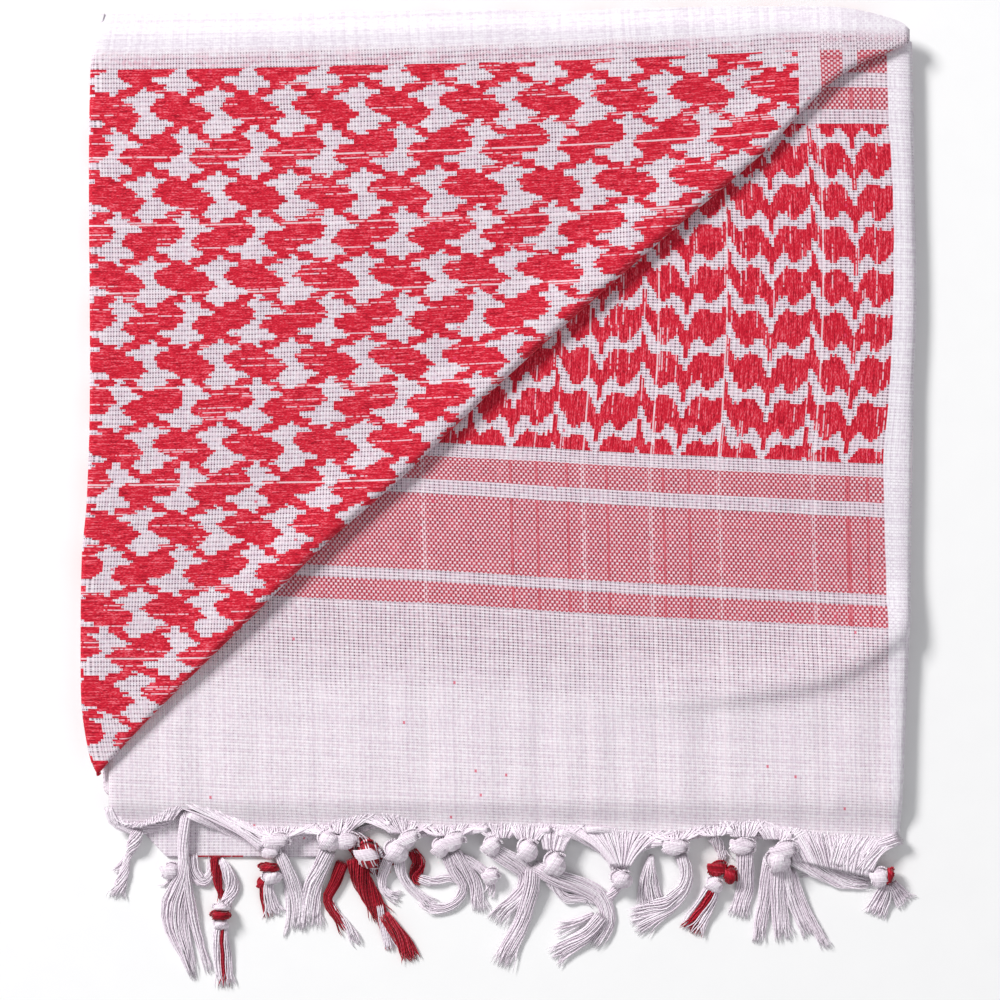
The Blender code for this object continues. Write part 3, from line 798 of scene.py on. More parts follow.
def flap_points(i):
    """One column of the flap from its free selvedge down over the roll: each point with its run down."""
    nominal, share, along = flap_column(i)
    end_x = nominal
    for _ in range(6):
        end_y = smooth(DIAGONAL, "x", "y", end_x)
        end_x = flap_x(nominal, end_y)
    end_y = smooth(DIAGONAL, "x", "y", end_x)
    low = PANEL_TOP + GAP
    roll_top = low + smooth(DIAGONAL, "x", "rise", end_x)
    corner = ease((nominal - 120) / 63)
    half = max((roll_top - low) * share / 2, 0.5)
    from_tip = ease((nominal - FLAP_LEFT - 6) / 14)
    start_y = smooth(TOP_EDGE, "x", "y", flap_x(nominal, 217))
    roll_start = end_y + half * 1.4
    points = []
    for k in range(FLAP_ALONG + 1):
        y = start_y - (start_y - roll_start) * (k / FLAP_ALONG) ** 1.06
        settled = mix(FLAP_TOP, roll_top, corner)
        top = mix(roll_top, settled, ease((y - roll_start) / SETTLE))
        top -= EDGE_DROOP * (1 - corner) * (1 - ease((start_y - y) / EDGE_DROOP_LENGTH))
        x = flap_x(nominal, y)
        calm = ease((start_y - y) / 12) * ease((y - roll_start + 4) / 12) * (1 - 0.8 * corner)
        top += calm * (0.3 * wave(x, y, 42, 31) + 0.12 * wave(x, y, 12, 32))
        points.append(((x, y, mix(low + WALL, top, share)), start_y - y))
    base = points[-1][0][2] - half
    run = points[-1][1]
    for k in range(1, ROLL_STEPS + 1):
        turn = mix(90, mix(0, -90, from_tip), k / ROLL_STEPS) * math.pi / 180
        y = roll_start - half * 1.4 * math.cos(turn)
        before = points[-1][0]
        spot = (flap_x(nominal, y), y, base + half * math.sin(turn))
        run += math.dist(before, spot)
        points.append((spot, run))
    back = max(RETURN * from_tip * (1 - corner), 0.6)
    (x, y, z), run = points[-1]
    sunk = 0 if from_tip > 0.5 else -0.5
    points.append(((x, y + back, z + sunk), run + back))
    return points, along, start_y


FLAP_COLUMNS = [flap_points(i) for i in range(LEFT_ROLL_STEPS + FLAP_ACROSS + 1)]


def flap_corner(i, j):
    points, along, start_y = FLAP_COLUMNS[i]
    (x, y, z), run = points[len(points) - 1 - j]
    level = start_y - run
    far_x = min((x + 60) / 100, 1.9)
    far_y = max((level - 100) / 100, -1.6)
    drift = 0.25 * wave(x, level, 14, 42) - bow(far_x, far_y, FLAP_END_BOW)
    sway = 0.25 * wave(x, level, 14, 44) - bow(far_x, far_y, FLAP_PICK_BOW)
    down = TOOTH_ROW_AT + TOOTH_SLOPE * (along - TOOTH_ROW_X) - level
    return (x, y, z), (down + drift, along + sway)


def houndstooth_material():
    material, tree, shader = new_material("houndstooth_cotton")
    dent, pick = thread_place(tree)
    figure = use_group(tree, HOUNDSTOOTH, dent - TOOTH_FIRST_DENT, pick - TOOTH_AT / PICK)[0]
    white, bricks, gap_shading = banded_white(tree, dent, pick, FLAP_BANDS, figure)
    along = pick * PICK + 60
    edge = calc("MAXIMUM", along, 0) * SELVEDGE_SLOPE
    edge = edge + SELVEDGE_DENTS
    selvedge = dent < edge
    white = calc("MAXIMUM", white, selvedge)
    gap_shading = gap_shading * (1 - selvedge)
    open_weave = soft_step(-5, -1.5, dent - edge)
    holes = 0.14 + open_weave * 0.9
    patches = flecks(dent * 0.35, pick * 0.09)
    patches = soft_step(0.42, 0.6, patches) * soft_step(0.5, -0.5, dent)
    blush = open_weave * (0.3 + patches * 0.4)
    cotton_finish(tree, shader, dent + bricks, pick, white, holes, blush, gap_shading)
    return material


flap = add_sheet("houndstooth_corner", LEFT_ROLL_STEPS + FLAP_ACROSS, FLAP_ALONG + ROLL_STEPS + 1,
                 flap_corner, houndstooth_material())
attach(flap, "root")
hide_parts("corner_flap")


# ---- Lower ply: the strip of the next layer that comes out under the end panel at the bottom left. ----
# Open white gauze with its own corner cut away, a red edge thread, and its warp knotted like the rest.

PLY_BACK = STACK_FRONT - 1
PLY_FRONT = -160.5
PLY_LEFT, PLY_CORNER, PLY_RIGHT = -158.5, -149.5, -79
PLY_ACROSS, PLY_ALONG = 64, 20
RED_THREAD, RED_FROM, RED_TO = 0.7, -141, -115


def lower_corner(i, j):
    x = mix(PLY_LEFT, PLY_RIGHT, i / PLY_ACROSS)
    cut = max(0, (PLY_CORNER - x) / (PLY_CORNER - PLY_LEFT))
    front = mix(PLY_FRONT, PLY_BACK - 14, cut)
    y = mix(front, PLY_BACK, j / PLY_ALONG)
    z = mix(WALL + 0.3, 2.4, ease(j / PLY_ALONG)) + 0.15 * wave(x, y, 12, 51)
    return (x, y, z), (x, y - PLY_FRONT)


def gauze_material():
    material, tree, shader = new_material("white_gauze")
    dent, pick = thread_place(tree)
    up = pick * PICK
    across = dent * DENT
    edge = (up < RED_THREAD) * (across > RED_FROM)
    edge = edge * (across < RED_TO)
    cotton_finish(tree, shader, dent, pick, 1 - edge, 0.4, 0.1)
    return material


lower = add_sheet("lower_gauze", PLY_ACROSS, PLY_ALONG, lower_corner, gauze_material(), wall=0.8)
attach(lower, "root")
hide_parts("lower_ply")


# ---- Fringe: the warp threads past the last pick, gathered and knotted by hand, with frayed ends. ----
# Each tassel is one piece: a fan of warp threads off the panel's edge, wound knots, and locks of soft
# two-ply thread that fall from the pile to the surface and spread at their tips.

Knot = namedtuple("Knot", "x y low long wide turn shade", defaults=["white"])
Lock = namedtuple("Lock", "threads twist lift route shade", defaults=["white"])
Fan = namedtuple("Fan", "threads start stop to_x to_y end_x end_y")

# YARN is the radius of a thread, and the fullness values fill the knots and locks out with more threads.
YARN = 0.3
LOCK_FULLNESS = 1.4
FAN_FULLNESS = 1.3
FAN_SPREAD = 0.16
FAN_RIGHT = 181.5
YARN_SIDES = 5
STATIONS = 13
FRAY = 3.2
KNOT_HEIGHT = 0.72
LOCK_FLATNESS = 0.5
TIP_LIFT = 0.35
GOLDEN_TURN = 2.399963
WINDING_PITCH = 0.56
CORE_SHARE = 0.43
FAN_END_HEIGHT = 6.2
SURFACE_LIFT = 0.05
YARN_PIECES = random.Random(7)

# Fans run along the raw edge and gather from their start to their stop. Each knot has its place, its lowest
# height, its length, width and turn. Each lock has its threads, its twists, the height it falls from, and a
# route of places with widths.
TASSELS = {
    "tassel_01": [
        Fan(46, -174, -146, -171.5, -145, -146, -143.5),
        Lock(30, 0.8, 5.6, [(-175.5, -137, 4.5), (-172, -144.2, 5), (-163.5, -147.6, 5.6),
            (-152, -146.2, 5.2), (-144.5, -141.5, 4.6), (-140, -138, 4)]),
        Lock(26, 1.1, 3, [(-161.8, -147, 5), (-162.9, -151.5, 6.4), (-164.6, -155.5, 6.4),
            (-166.6, -158.8, 3.4), (-168, -165, 4.2), (-170, -172.5, 6), (-171.6, -180, 7.6)]),
        Lock(4, 0.2, 0.8, [(-166.6, -158.8, 2), (-170, -163, 3), (-173.5, -167.5, 5)]),
    ],
    "tassel_02": [
        Lock(38, 0.25, 4.6, [(-139.5, -138, 5.2), (-141.2, -147.5, 5.2), (-141.7, -155.5, 5.4),
            (-141.4, -163.5, 5.4), (-142.8, -171, 8), (-146, -181, 13), (-145.5, -191, 12.5),
            (-141, -203, 8), (-136.6, -216.5, 3.2)]),
        Lock(13, 0.2, 3, [(-141, -161, 4), (-139.6, -175, 5), (-137.2, -188, 5.5), (-134, -201, 4.2),
            (-130, -214, 2)]),
        Lock(7, 0.1, 1, [(-145, -170, 3), (-150, -183, 3.4), (-148.8, -191, 3), (-147.5, -198, 3)]),
        Lock(3, 0.1, 1, [(-144, -166, 2), (-149, -171.5, 2.5), (-153, -174.5, 3)]),
    ],
    "tassel_03": [
        Lock(26, 0.9, 6, [(-140, -140.6, 3), (-130, -144.6, 4.2), (-117, -150.6, 5), (-106, -154.2, 5)]),
        Lock(24, 0.9, 6, [(-66, -147, 2.4), (-78, -149.4, 3.4), (-90, -150.4, 4), (-99, -153.2, 4.4)]),
        Fan(46, -137, -104, -106.5, -158, -102, -151.5),
        Fan(44, -122, -86, -104, -151, -95, -151),
        Knot(-99.7, -152.4, 3.4, 13, 8, 8),
        Knot(-102.2, -157.3, 2.6, 8.6, 7, 20),
        Lock(30, 0.2, 3, [(-99, -157.5, 5.5), (-94, -168.9, 7), (-90.4, -180, 7), (-89.6, -194.5, 8.4)]),
        Lock(7, 0.3, 1.5, [(-97.5, -160, 3), (-95.6, -172, 3), (-94.8, -183, 2.5), (-95.2, -190, 2.2),
            (-97, -197.6, 2)]),
    ],
    "tassel_04": [
        Lock(18, 0.9, 6, [(-48, -144.6, 2.4), (-57, -146.4, 3), (-66, -151, 3.6)]),
        Fan(44, -90, -60, -79, -149.5, -67, -149.5),
        Knot(-76.4, -152.2, 3, 9, 11, 80),
        Knot(-68.4, -152.4, 3.4, 11.5, 8.6, 5),
        Lock(36, 0.2, 3, [(-76.4, -156, 8), (-80.4, -166, 8), (-83.6, -173.5, 9), (-84.6, -183, 10),
            (-84.3, -193.5, 11.6)]),
    ],
    "tassel_05": [
        Lock(24, 0.9, 6, [(-4, -147.6, 2.4), (-20, -149, 3.6), (-32, -149.4, 4), (-42, -153, 4.4)]),
        Fan(40, -62, -34, -49, -149.5, -38, -149.5),
        Knot(-46.2, -157, 2.6, 9.5, 12, 75),
        Knot(-41.2, -152, 4.2, 12, 8, 35),
        Lock(18, 0.2, 3, [(-49, -159, 6), (-51.9, -167.6, 5), (-52.3, -173.9, 4.6), (-49.5, -177.3, 4.6),
            (-43.8, -179.4, 8)]),
    ],
    "tassel_06": [
        Lock(18, 0.2, 3, [(-45, -160, 6), (-43.8, -168, 5), (-39.8, -174, 5), (-33, -180, 5.4),
            (-27.6, -183.6, 6.8)]),
        Lock(16, 0.4, 1.5, [(-39.5, -157, 5), (-36.2, -163, 7), (-37.6, -169.6, 6),
            (-34, -172, 3.6)], "red"),
        Lock(10, 0.3, 1, [(-36.5, -170, 4), (-29.9, -171.6, 5), (-22.4, -169.9, 4.5), (-18, -171.5, 3)]),
    ],
    "tassel_07": [
        Fan(40, -36, -9, -29, -150.5, -18, -150),
        Knot(-20.6, -152.6, 3.2, 11.5, 9, 25),
        Knot(-26.4, -155.6, 2.6, 8.4, 8.6, 60),
        Lock(18, 0.3, 3, [(-24.4, -158, 5.5), (-21, -166, 5.2), (-16.2, -173.5, 5), (-17.6, -178.5, 5),
            (-24, -183.3, 5.4), (-31.3, -183.2, 5), (-36.2, -179, 4.2)]),
    ],
    "tassel_08": [
        Lock(24, 0.3, 3.2, [(-20.6, -157, 6), (-14.4, -165.8, 6.4), (-10.7, -173, 6.6), (-9.6, -180, 7),
            (-9, -186, 7)]),
        Lock(14, 0.3, 2, [(-17, -160, 5), (-8, -166, 5), (-3.6, -173, 5), (-5.4, -179, 5.4)]),
    ],
    "tassel_09": [
        Lock(22, 0.9, 6, [(24, -147.6, 2.4), (12, -149.2, 3.4), (2, -150.2, 3.8), (-4, -154, 4.2)]),
        Fan(34, -11, 8, -5, -151.5, 5, -151.5),
        Knot(-3.4, -154.6, 3, 9, 9, 50),
        Knot(-3.6, -168.6, 0.5, 8, 8, 30),
        Lock(34, 0.2, 3.6, [(-8, -154.5, 6), (2, -160, 8), (12, -167, 9), (11.5, -174, 8),
            (6.5, -180.5, 7.5), (1.5, -185, 9), (-2.5, -191, 10.5)]),
    ],
    "tassel_10": [
        Fan(30, 6, 22, 8, -152, 18, -152.5),
        Knot(12.6, -156.4, 3, 10, 10.5, 70),
        Lock(34, 0.1, 3.2, [(15, -164, 7), (14.6, -173.5, 8), (13.2, -179, 7.5), (9.8, -190.4, 7.5),
            (5, -200, 8.5), (0.2, -210.5, 9.5)]),
    ],
    "tassel_11": [
        Fan(36, 18, 36, 20, -157, 29, -158),
        Knot(24.8, -162.6, 3, 10.5, 11, 75),
        Lock(40, 0.2, 3.4, [(15, -164, 7), (26, -169.5, 8.5), (37, -173.4, 9), (45, -178, 8),
            (49, -187, 7.5), (46.5, -195, 7.2), (42, -201.6, 7)]),
        Lock(14, 0.4, 1.6, [(22, -170, 5), (30, -178.6, 5), (38, -179, 4.4), (43.5, -182.5, 4)]),
        Lock(22, 0.2, 1.6, [(46.5, -186, 6), (39.5, -195, 7), (31.5, -200.5, 9), (23.2, -206.5, 11)]),
        Lock(6, 0.1, 1, [(43, -186, 3), (33, -190.5, 6), (24, -193, 10)]),
    ],
    "tassel_12": [
        Lock(26, 0.9, 6, [(26, -148.6, 3), (36, -151.4, 4), (47, -158, 4.6), (54, -167, 4.6)]),
        Lock(18, 0.9, 6, [(74, -153, 3), (66, -155.4, 3.6), (58, -161, 4), (55, -167, 4.2)]),
        Fan(74, 28, 74, 50.5, -164.5, 58.5, -164.5),
        Knot(54.6, -169.6, 2, 8, 11, 85),
        Lock(18, 0.3, 1.6, [(54, -172, 5), (51, -177, 5), (47, -181.6, 7)]),
    ],
    "tassel_13": [
        Lock(30, 0, 2.2, [(68.5, -159, 2.6), (67.5, -167, 7), (67.5, -176, 11.5), (69, -184, 13.5)]),
    ],
    "tassel_14": [
        Lock(24, 0.9, 6.2, [(38, -147.6, 2.4), (52, -148.2, 3.6), (66, -149.6, 4.2), (78, -153.6, 4.4)]),
        Lock(18, 0.9, 6, [(106, -148, 2.4), (96, -149.6, 3.4), (86, -151, 4), (80, -154, 4.2)]),
        Fan(34, 68, 92, 74, -152, 84, -152),
        Knot(79.1, -155.1, 3, 12, 8.4, 3),
        Lock(30, 0.4, 3, [(81, -158, 6), (84, -166, 6.4), (83.4, -173, 6.6), (78, -181.6, 7),
            (68.4, -188.6, 8.4), (60.6, -194.4, 9.5)]),
        Lock(20, 0.3, 2, [(83, -173, 5), (75, -181, 7), (66, -184.6, 8), (57.6, -187.6, 10)]),
    ],
    "tassel_15": [
        Fan(26, 88, 104, 93, -150.5, 100, -150.5),
        Lock(16, 0.5, 3, [(95.4, -151, 5.5), (99.5, -156.5, 5.5), (101, -162.5, 5)]),
        Knot(98, -165.2, 1.5, 9, 7.6, 10, "red"),
        Knot(103.8, -168, 1.2, 6, 9, 5, "red"),
        Knot(96.6, -172.2, 0.8, 7, 9, 60),
        Lock(42, 0.15, 1, [(95.8, -174, 7.5), (93.4, -180, 9), (89.8, -187.5, 11),
            (86, -195, 12.5)], "middle red"),
    ],
    "tassel_16": [
        Lock(18, 0.9, 6, [(132, -150.4, 2.4), (122, -150.4, 3.4), (114, -151.4, 3.8), (109, -154.4, 4.2)]),
        Fan(28, 101, 118, 104, -151, 114, -151),
        Knot(109.1, -154.9, 3.2, 11.5, 8.4, 0),
        Lock(38, 0.1, 3, [(110, -157, 8), (110.4, -166, 8.2), (110.6, -174, 8.2), (109, -181, 8.6),
            (107.6, -188.5, 9.5)]),
    ],
    "tassel_17": [
        Lock(30, 0.15, 3, [(121, -159, 5), (119.5, -170, 5.6), (119, -180, 6.4), (117.6, -190, 6.6),
            (116.2, -200, 5)]),
    ],
    "tassel_18": [
        Fan(34, 115, 137, 119, -152, 131, -152.5),
        Knot(124.6, -161.2, 2.4, 10, 12, 100),
        Knot(127.4, -156.6, 4.2, 12, 9.4, 25),
        Lock(34, 0.15, 3, [(124, -163, 6), (125, -176, 7.4), (126.5, -188, 8.4), (128, -199, 9.4)]),
    ],
    "tassel_19": [
        Lock(28, 0.15, 2.6, [(128, -163, 5), (131, -177, 6.4), (136, -188, 7.2), (141, -196.4, 7.2)]),
        Lock(16, 0.1, 1.6, [(131, -165, 4), (137, -182, 4.6), (143, -193.6, 5), (147.8, -203, 6.4)]),
    ],
    "tassel_20": [
        Fan(84, 122, 168, 132, -162, 165, -169.5),
        Fan(52, 156, 181.5, 148, -163.5, 167, -167),
        Lock(44, 0.5, 2.6, [(130, -160.5, 6), (143.9, -166.8, 7.5), (155, -171, 8.5), (168, -171.8, 6)]),
        Lock(26, 0.3, 4.4, [(180, -150.5, 6), (168, -156, 5.5), (157, -161.4, 5.5), (146, -165.6, 5.5),
            (134, -166, 5)]),
        Knot(170.6, -168.8, 2.2, 8.5, 9.5, 20),
        Knot(175, -168.2, 2.2, 3.4, 8.6, -15, "red"),
        Lock(26, 0, 1.4, [(174.5, -172, 6), (172, -179, 9), (168.5, -187.5, 12)]),
        Lock(22, 0, 1.4, [(176, -172, 6), (180, -177, 8), (183.4, -181.6, 10)]),
    ],
    "lower_tassel_01": [
        Knot(-147.6, -166.2, 0.3, 8.4, 8, 20),
        Lock(22, 0.1, 0.3, [(-139, -159, 8), (-137.2, -167, 7), (-133.3, -171.4, 6), (-129.8, -168.5, 5),
            (-128.7, -160, 5)]),
    ],
    "lower_tassel_02": [
        Lock(20, 0.3, 0.8, [(-127.6, -159.6, 5.4), (-127, -168, 5.2), (-125.8, -175, 3.2),
            (-124.8, -181, 3)], "red"),
        Lock(22, 0.5, 1.4, [(-125.4, -161, 3), (-121.4, -168, 6.4), (-119.9, -174.5, 7),
            (-122.4, -180, 5.4), (-124.6, -184, 5)]),
        Knot(-124.8, -182.6, 0.8, 3, 9, 86),
        Knot(-125, -186, 0.4, 4.4, 10.4, 92, "red"),
        Knot(-124.9, -190.2, 0.4, 4.8, 7.8, 84),
        Lock(38, 0.1, 0.6, [(-124.8, -191, 6.5), (-125, -198, 8), (-124.2, -207, 9.2),
            (-122.9, -219.6, 7)], "right red"),
    ],
    "lower_tassel_03": [
        Knot(-103.4, -164.6, 1.4, 4, 10.4, 86, "red"),
        Knot(-102, -168.8, 0.8, 6.5, 10, 100),
        Knot(-106.6, -172, 0.4, 5.4, 5, 70, "red"),
        Lock(32, 0.1, 0.6, [(-104.6, -170.6, 6), (-104, -177, 7.4), (-102.4, -182.4, 9),
            (-101, -187.5, 11.5)], "left red"),
    ],
    "lower_tassel_04": [
        Lock(30, 0.1, 0.8, [(-70, -162, 6.4), (-74.6, -173.9, 5.6), (-77.2, -178.8, 5), (-75.5, -183.6, 5),
            (-71.5, -188.8, 4.6), (-67.2, -194, 4.6)], "red"),
        Lock(14, 0.9, 0.8, [(-72.4, -172, 1.6), (-75.4, -178.8, 1.8), (-73.4, -184.6, 2.6),
            (-69, -190.6, 4), (-62.2, -200.6, 6.8)]),
    ],
    "lower_tassel_05": [
        Lock(34, 0.5, 2.4, [(-68, -150, 7), (-62, -156, 12), (-55, -163, 13), (-50, -169, 8)], "streaked"),
        Knot(-58.6, -158.4, 1.4, 11, 13, 30, "streaked"),
        Lock(14, 0.2, 2.2, [(-62, -163, 3), (-56, -164.4, 4), (-50.4, -162.6, 3.6)], "streaked"),
        Lock(46, 0.5, 1.6, [(-65, -160, 9), (-61.4, -171, 9.4), (-56.5, -180.5, 8.8),
            (-51.6, -189, 8.4)], "red"),
        Lock(9, 2.6, 1, [(-66, -166, 1.4), (-59, -174, 2), (-56, -181, 2), (-50, -190, 2.4)]),
        Lock(16, 0.3, 0.6, [(-54.6, -182, 5), (-51.4, -194, 4.6), (-48.6, -203, 4.4)], "left red"),
        Lock(28, 0.3, 0.6, [(-52.4, -186, 6), (-47.5, -192, 6.5), (-43, -198.4, 8),
            (-39.3, -208, 10)], "red"),
    ],
}


def is_red(shade, across):
    """Whether a thread at this place across the lock, from -1 at its left to 1, is a red one."""
    if shade == "streaked":
        return YARN_PIECES.random() < 0.7
    edges = {"red": (-2, 2), "left red": (-2, -0.35), "right red": (0.1, 0.55), "middle red": (-0.45, 0.45)}
    low, high = edges.get(shade, (3, 3))
    return low < across < high


def add_thread(made, path, radii, number, red):
    """One thread: a tube round the path whose ends close to a point. Its UV is its number and its run."""
    lay = made.loops.layers.uv.verify()
    along = len(path) - 1
    radii[0], radii[-1] = 0, 0
    grid = bmesh.ops.create_grid(made, x_segments=YARN_SIDES, y_segments=along, size=0.5)
    frames, run = [], [0]
    for j, point in enumerate(path):
        way = (path[min(j + 1, along)] - path[max(j - 1, 0)]).normalized()
        side = way.cross(Vector((0, 0, 1)))
        side = side.normalized() if side.length > 0.05 else Vector((1, 0, 0))
        frames.append((side, side.cross(way)))
        if j:
            run.append(run[-1] + (point - path[j - 1]).length)
    spots = {}
    for vert in grid["verts"]:
        i = round((vert.co.x + 0.5) * YARN_SIDES)
        j = round((vert.co.y + 0.5) * along)
        turn = 2 * math.pi * i / YARN_SIDES
        side, up = frames[j]
        vert.co = path[j] + (side * math.cos(turn) + up * math.sin(turn)) * radii[j]
        vert.co.z = max(vert.co.z, SURFACE_LIFT)
        spots[vert] = (number + 0.9 * i / YARN_SIDES, run[j])
    for vert, (across, length) in spots.items():
        for loop in vert.link_loops:
            loop[lay].uv = (across, length * MM)
            loop.face.material_index = int(red)
    bmesh.ops.remove_doubles(made, verts=grid["verts"], dist=1e-4)


def add_lock(made, lock):
    """A lock of threads along its route, turning a little about each other and spreading at the tips."""
    Stop = namedtuple("Stop", "s x y wide")
    lengths = [0]
    for start, end in zip(lock.route, lock.route[1:]):
        lengths.append(lengths[-1] + math.dist(start[:2], end[:2]))
    stops = [Stop(s, *spot) for s, spot in zip(lengths, lock.route)]
    whole = lengths[-1]
    stations = []
    for k in range(STATIONS * 2 + 1):
        s = whole * k / (STATIONS * 2)
        here = Vector((smooth(stops, "s", "x", s), smooth(stops, "s", "y", s), 0))
        stations.append((s / whole, here, smooth(stops, "s", "wide", s)))
    threads = round(lock.threads * LOCK_FULLNESS)
    for n in range(threads):
        far = math.sqrt((n + 0.5) / threads)
        turn = n * GOLDEN_TURN
        reach = YARN_PIECES.uniform(0.84, 1) if n % 5 else 1
        fray = YARN_PIECES.uniform(-1, 1) ** 3 * FRAY
        number = YARN_PIECES.randrange(1, 400)
        path = []
        for k in range(STATIONS + 1):
            share = reach * k / STATIONS
            at = min(int(share * (len(stations) - 1)), len(stations) - 2)
            rest = share * (len(stations) - 1) - at
            here = stations[at][1].lerp(stations[at + 1][1], rest)
            wide = mix(stations[at][2], stations[at + 1][2], rest)
            way = (stations[at + 1][1] - stations[at][1]).normalized()
            spin = turn + 2 * math.pi * lock.twist * share
            thick = min(wide * LOCK_FLATNESS, mix(5, 2.4, ease(share * 1.4)))
            crimp = 0.55 * wave(number * 3.1, share * whole, 5, 61) * ease(share * 4)
            crimp += fray * ease((share - 0.62) / 0.38) ** 2
            loose = 1 + 0.35 * ease((share - 0.75) * 4) * wave(number * 7.7, share * whole, 9, 63)
            across = far * math.cos(spin) * loose * (wide / 2 - YARN) + crimp
            lift = mix(lock.lift, TIP_LIFT, ease(share * 1.5))
            up = lift + (thick / 2) * (1 + far * math.sin(spin)) * (1 - 0.3 * share)
            spot = here + Vector((way.y, -way.x, 0)) * -across
            path.append(Vector((spot.x, spot.y, up + 0.2 * wave(number, share * whole, 4, 62))))
        radii = [YARN * (1 - 0.35 * ease((k / STATIONS - 0.7) * 3)) for k in range(STATIONS + 1)]
        add_thread(made, path, radii, number, is_red(lock.shade, far * math.cos(turn)))


def add_knot(made, knot):
    """A wound ball: threads laid side by side round its long way, with a second turn across the top."""
    turn = math.radians(knot.turn)
    along, across = Vector((math.cos(turn), math.sin(turn), 0)), Vector((-math.sin(turn), math.cos(turn), 0))
    high = knot.wide * KNOT_HEIGHT
    middle = Vector((knot.x, knot.y, knot.low + high / 2))
    windings = [(along, across, 1, 0.94, 0.18), (across, along, 1.08, 0.42, -0.30)]
    for axis, side, size, reach, slant in windings:
        is_first = axis is along
        half = (knot.long if is_first else knot.wide) / 2
        round_half = (knot.wide if is_first else knot.long) / 2
        count = max(6, round(half * reach * 2 / WINDING_PITCH))
        for n in range(count):
            t = mix(-reach, reach, n / (count - 1))
            belt = math.sqrt(max(1 - t * t, 0.04)) * size
            number = YARN_PIECES.randrange(1, 400)
            path = []
            for k in range(STATIONS + 1):
                angle = 2 * math.pi * k / STATIONS + 0.6
                shift = axis * (half * (t * 0.92 + slant * math.cos(angle) + 0.03 * wave(number, k, 2, 64)))
                ring = side * (math.cos(angle) * (round_half - YARN)) + Vector((0, 0, 1)) * (
                    math.sin(angle) * (high / 2 - YARN))
                path.append(middle + shift + ring * belt)
            radii = [YARN * 1.15] * (STATIONS + 1)
            shade = knot.shade if is_first or knot.shade != "streaked" else "white"
            add_thread(made, path, radii, number, is_red(shade, t))
    core = bmesh.ops.create_icosphere(made, subdivisions=2, radius=1)
    for vert in core["verts"]:
        spot = vert.co.copy()
        vert.co = (middle + along * (spot.x * knot.long * CORE_SHARE)
                   + across * (spot.y * knot.wide * CORE_SHARE) + Vector((0, 0, spot.z * high * CORE_SHARE)))
        for face in vert.link_faces:
            face.material_index = int(knot.shade in ("red", "streaked"))


def add_fan(made, fan):
    """Warp threads off the panel's raw edge. They run along the edge like a rope before they turn down
    into their knot, the outermost the longest."""
    threads = round(fan.threads * FAN_FULLNESS)
    spread = (fan.stop - fan.start) * FAN_SPREAD
    for n in range(threads):
        t = (n + YARN_PIECES.uniform(-0.3, 0.3)) / (threads - 1)
        t = min(max(t, 0), 1)
        out = abs(2 * t - 1)
        x = min(max(mix(fan.start - spread, fan.stop + spread, t), PANEL_LEFT + 1), FAN_RIGHT)
        edge = smooth(BOTTOM_EDGE, "x", "y", x)
        hug = mix(0.25, 0.78, out**1.3)
        target = mix(fan.to_x, fan.end_x, t)
        start = Vector((x, edge + YARN_PIECES.uniform(0.6, 3.4), 0))
        bend_y = smooth(BOTTOM_EDGE, "x", "y", mix(x, target, hug)) + mix(-0.6, -1.8, YARN_PIECES.random())
        over = Vector((mix(x, target, hug), bend_y, 0))
        end = Vector((target, mix(fan.to_y, fan.end_y, t), 0))
        number = YARN_PIECES.randrange(1, 400)
        rise = YARN_PIECES.uniform(-0.6, 1)
        path = []
        for k in range(STATIONS + 1):
            s = k / STATIONS
            spot = start.lerp(over, s).lerp(over.lerp(end, s), s)
            on_panel = panel_height(spot.x, max(spot.y, edge), PANEL_RIGHT - spot.x) + 0.1
            spot.z = mix(on_panel, FAN_END_HEIGHT + rise, ease(s * 1.6 - 0.1))
            spot.x += 0.4 * wave(number * 1.7, s * 20, 6, 65) * ease(s * 5)
            spot.y += 0.4 * wave(number * 2.9, s * 20, 5, 67) * ease(s * 5)
            path.append(spot)
        radii = [YARN * 1.1] * (STATIONS + 1)
        add_thread(made, path, radii, number, False)


def yarn_material(name, dark, light, glint):
    """Soft two-ply thread: turned fibres, each thread a little lighter or darker than the next, with painted
    shade in the grooves of the twist, lighter crests and a painted glint on the lightest.
    """
    material, tree, shader = new_material(name)
    across, along = uv_parts(tree)
    number = floor(across)
    around = fract(across)
    run = along * 1000
    turned = around * 2.2 + run * 0.55
    ply = abs(calc("SINE", turned * math.pi))
    fibre = flecks(around * 9, run + number, detail=4)
    patch = flecks(number, run * 0.12)
    # The ply term is painted light and shade on the twist; the glint colour is a painted highlight.
    shade = each(number, 2) * 0.45 + ply * 0.2 + (fibre + patch) * 0.18
    colour = tint(soft_step(0.15, 0.75, shade), dark, light)
    colour = tint(soft_step(0.66, 0.86, shade), colour, glint)
    finish(tree, shader, colour, 0.95 - ply * 0.15, ply + fibre * 0.5,
           strength=0.4, distance=0.15 * MM, sheen=0.25, sheen_rough=0.4)
    return material


WHITE_YARN = yarn_material("white_yarn", (0.78, 0.67, 0.76, 1), (0.94, 0.86, 0.93, 1), (0.97, 0.93, 0.97, 1))
RED_YARN = yarn_material("red_yarn", (0.20, 0.002, 0.010, 1), (0.46, 0.006, 0.024, 1), (0.66, 0.06, 0.10, 1))

MAKERS = {Knot: add_knot, Lock: add_lock, Fan: add_fan}
for name, parts in TASSELS.items():
    made = bmesh.new()
    for part in parts:
        MAKERS[type(part)](made, part)
    tassel = add_piece("knotted_" + name, made, [WHITE_YARN, RED_YARN])
    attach(tassel, "root")
    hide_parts(name)


# ---- Studio: a plain pale floor, soft light from the upper left, and the camera straight above. ----
# The camera has a long lens, so that the sides of the folded cloth don't show.

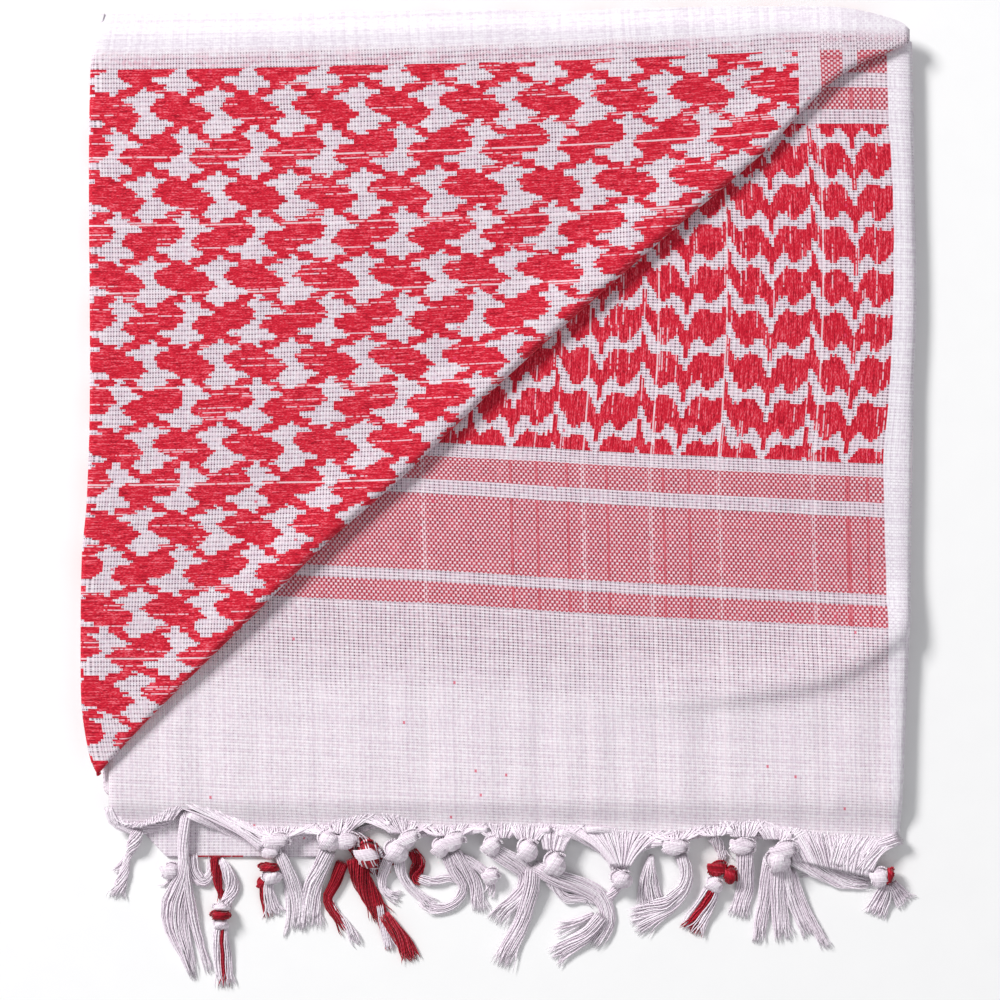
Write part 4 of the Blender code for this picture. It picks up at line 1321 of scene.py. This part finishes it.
FLOOR_SIZE = 8
CAMERA_LENS = 100
CAMERA_SENSOR = 36
FRAME_WIDTH = 0.447
CAMERA_X = 0.0004
AIR_STRENGTH = 0.385


def floor_material():
    material, tree, shader = new_material("studio_floor")
    place = Value(add_node(tree, "ShaderNodeTexCoord").outputs["Object"])
    grain = add_node(tree, "ShaderNodeTexNoise", place)
    grain.inputs["Scale"].default_value = 60
    colour = tint(Value(grain.outputs[0]), (0.93, 0.93, 0.935, 1), (0.96, 0.96, 0.96, 1))
    feed(colour, shader.inputs["Base Color"])
    shader.inputs["Roughness"].default_value = 0.85
    shader.inputs["Specular IOR Level"].default_value = 0.1
    return material


floor_made = bmesh.new()
bmesh.ops.create_grid(floor_made, x_segments=8, y_segments=8, size=FLOOR_SIZE / 2)
floor_mesh = bpy.data.meshes.new("studio_floor")
floor_made.to_mesh(floor_mesh)
floor_made.free()
floor_mesh.materials.append(floor_material())
floor = bpy.data.objects.new("studio_floor", floor_mesh)
bpy.context.scene.collection.objects.link(floor)


def add_light(name, place, size, power, colour):
    """A square soft light that faces the middle of the cloth."""
    light = bpy.data.lights.new(name, "AREA")
    light.size = size
    light.energy = power
    light.color = colour
    lamp = bpy.data.objects.new(name, light)
    lamp.location = place
    lamp.rotation_euler = (-Vector(place)).to_track_quat("-Z", "Y").to_euler()
    bpy.context.scene.collection.objects.link(lamp)


add_light("key_light", (-2.4, 2.2, 2.3), size=1, power=172, colour=(1, 0.99, 0.985))
add_light("fill_light", (1.6, -1.6, 2.4), size=2.4, power=12, colour=(0.97, 0.98, 1))

world = bpy.data.worlds.new("studio_air")
world.use_nodes = True
world.node_tree.nodes["Background"].inputs["Color"].default_value = (0.97, 0.98, 1, 1)
world.node_tree.nodes["Background"].inputs["Strength"].default_value = AIR_STRENGTH
bpy.context.scene.world = world
bpy.context.scene.view_settings.view_transform = "Standard"

camera_data = bpy.data.cameras.new("camera")
camera_data.lens = CAMERA_LENS
camera_data.sensor_width = CAMERA_SENSOR
camera = bpy.data.objects.new("camera", camera_data)
camera.location = (CAMERA_X, 0, PANEL_TOP * MM + FRAME_WIDTH * CAMERA_LENS / CAMERA_SENSOR)
bpy.context.scene.collection.objects.link(camera)
bpy.context.scene.camera = camera
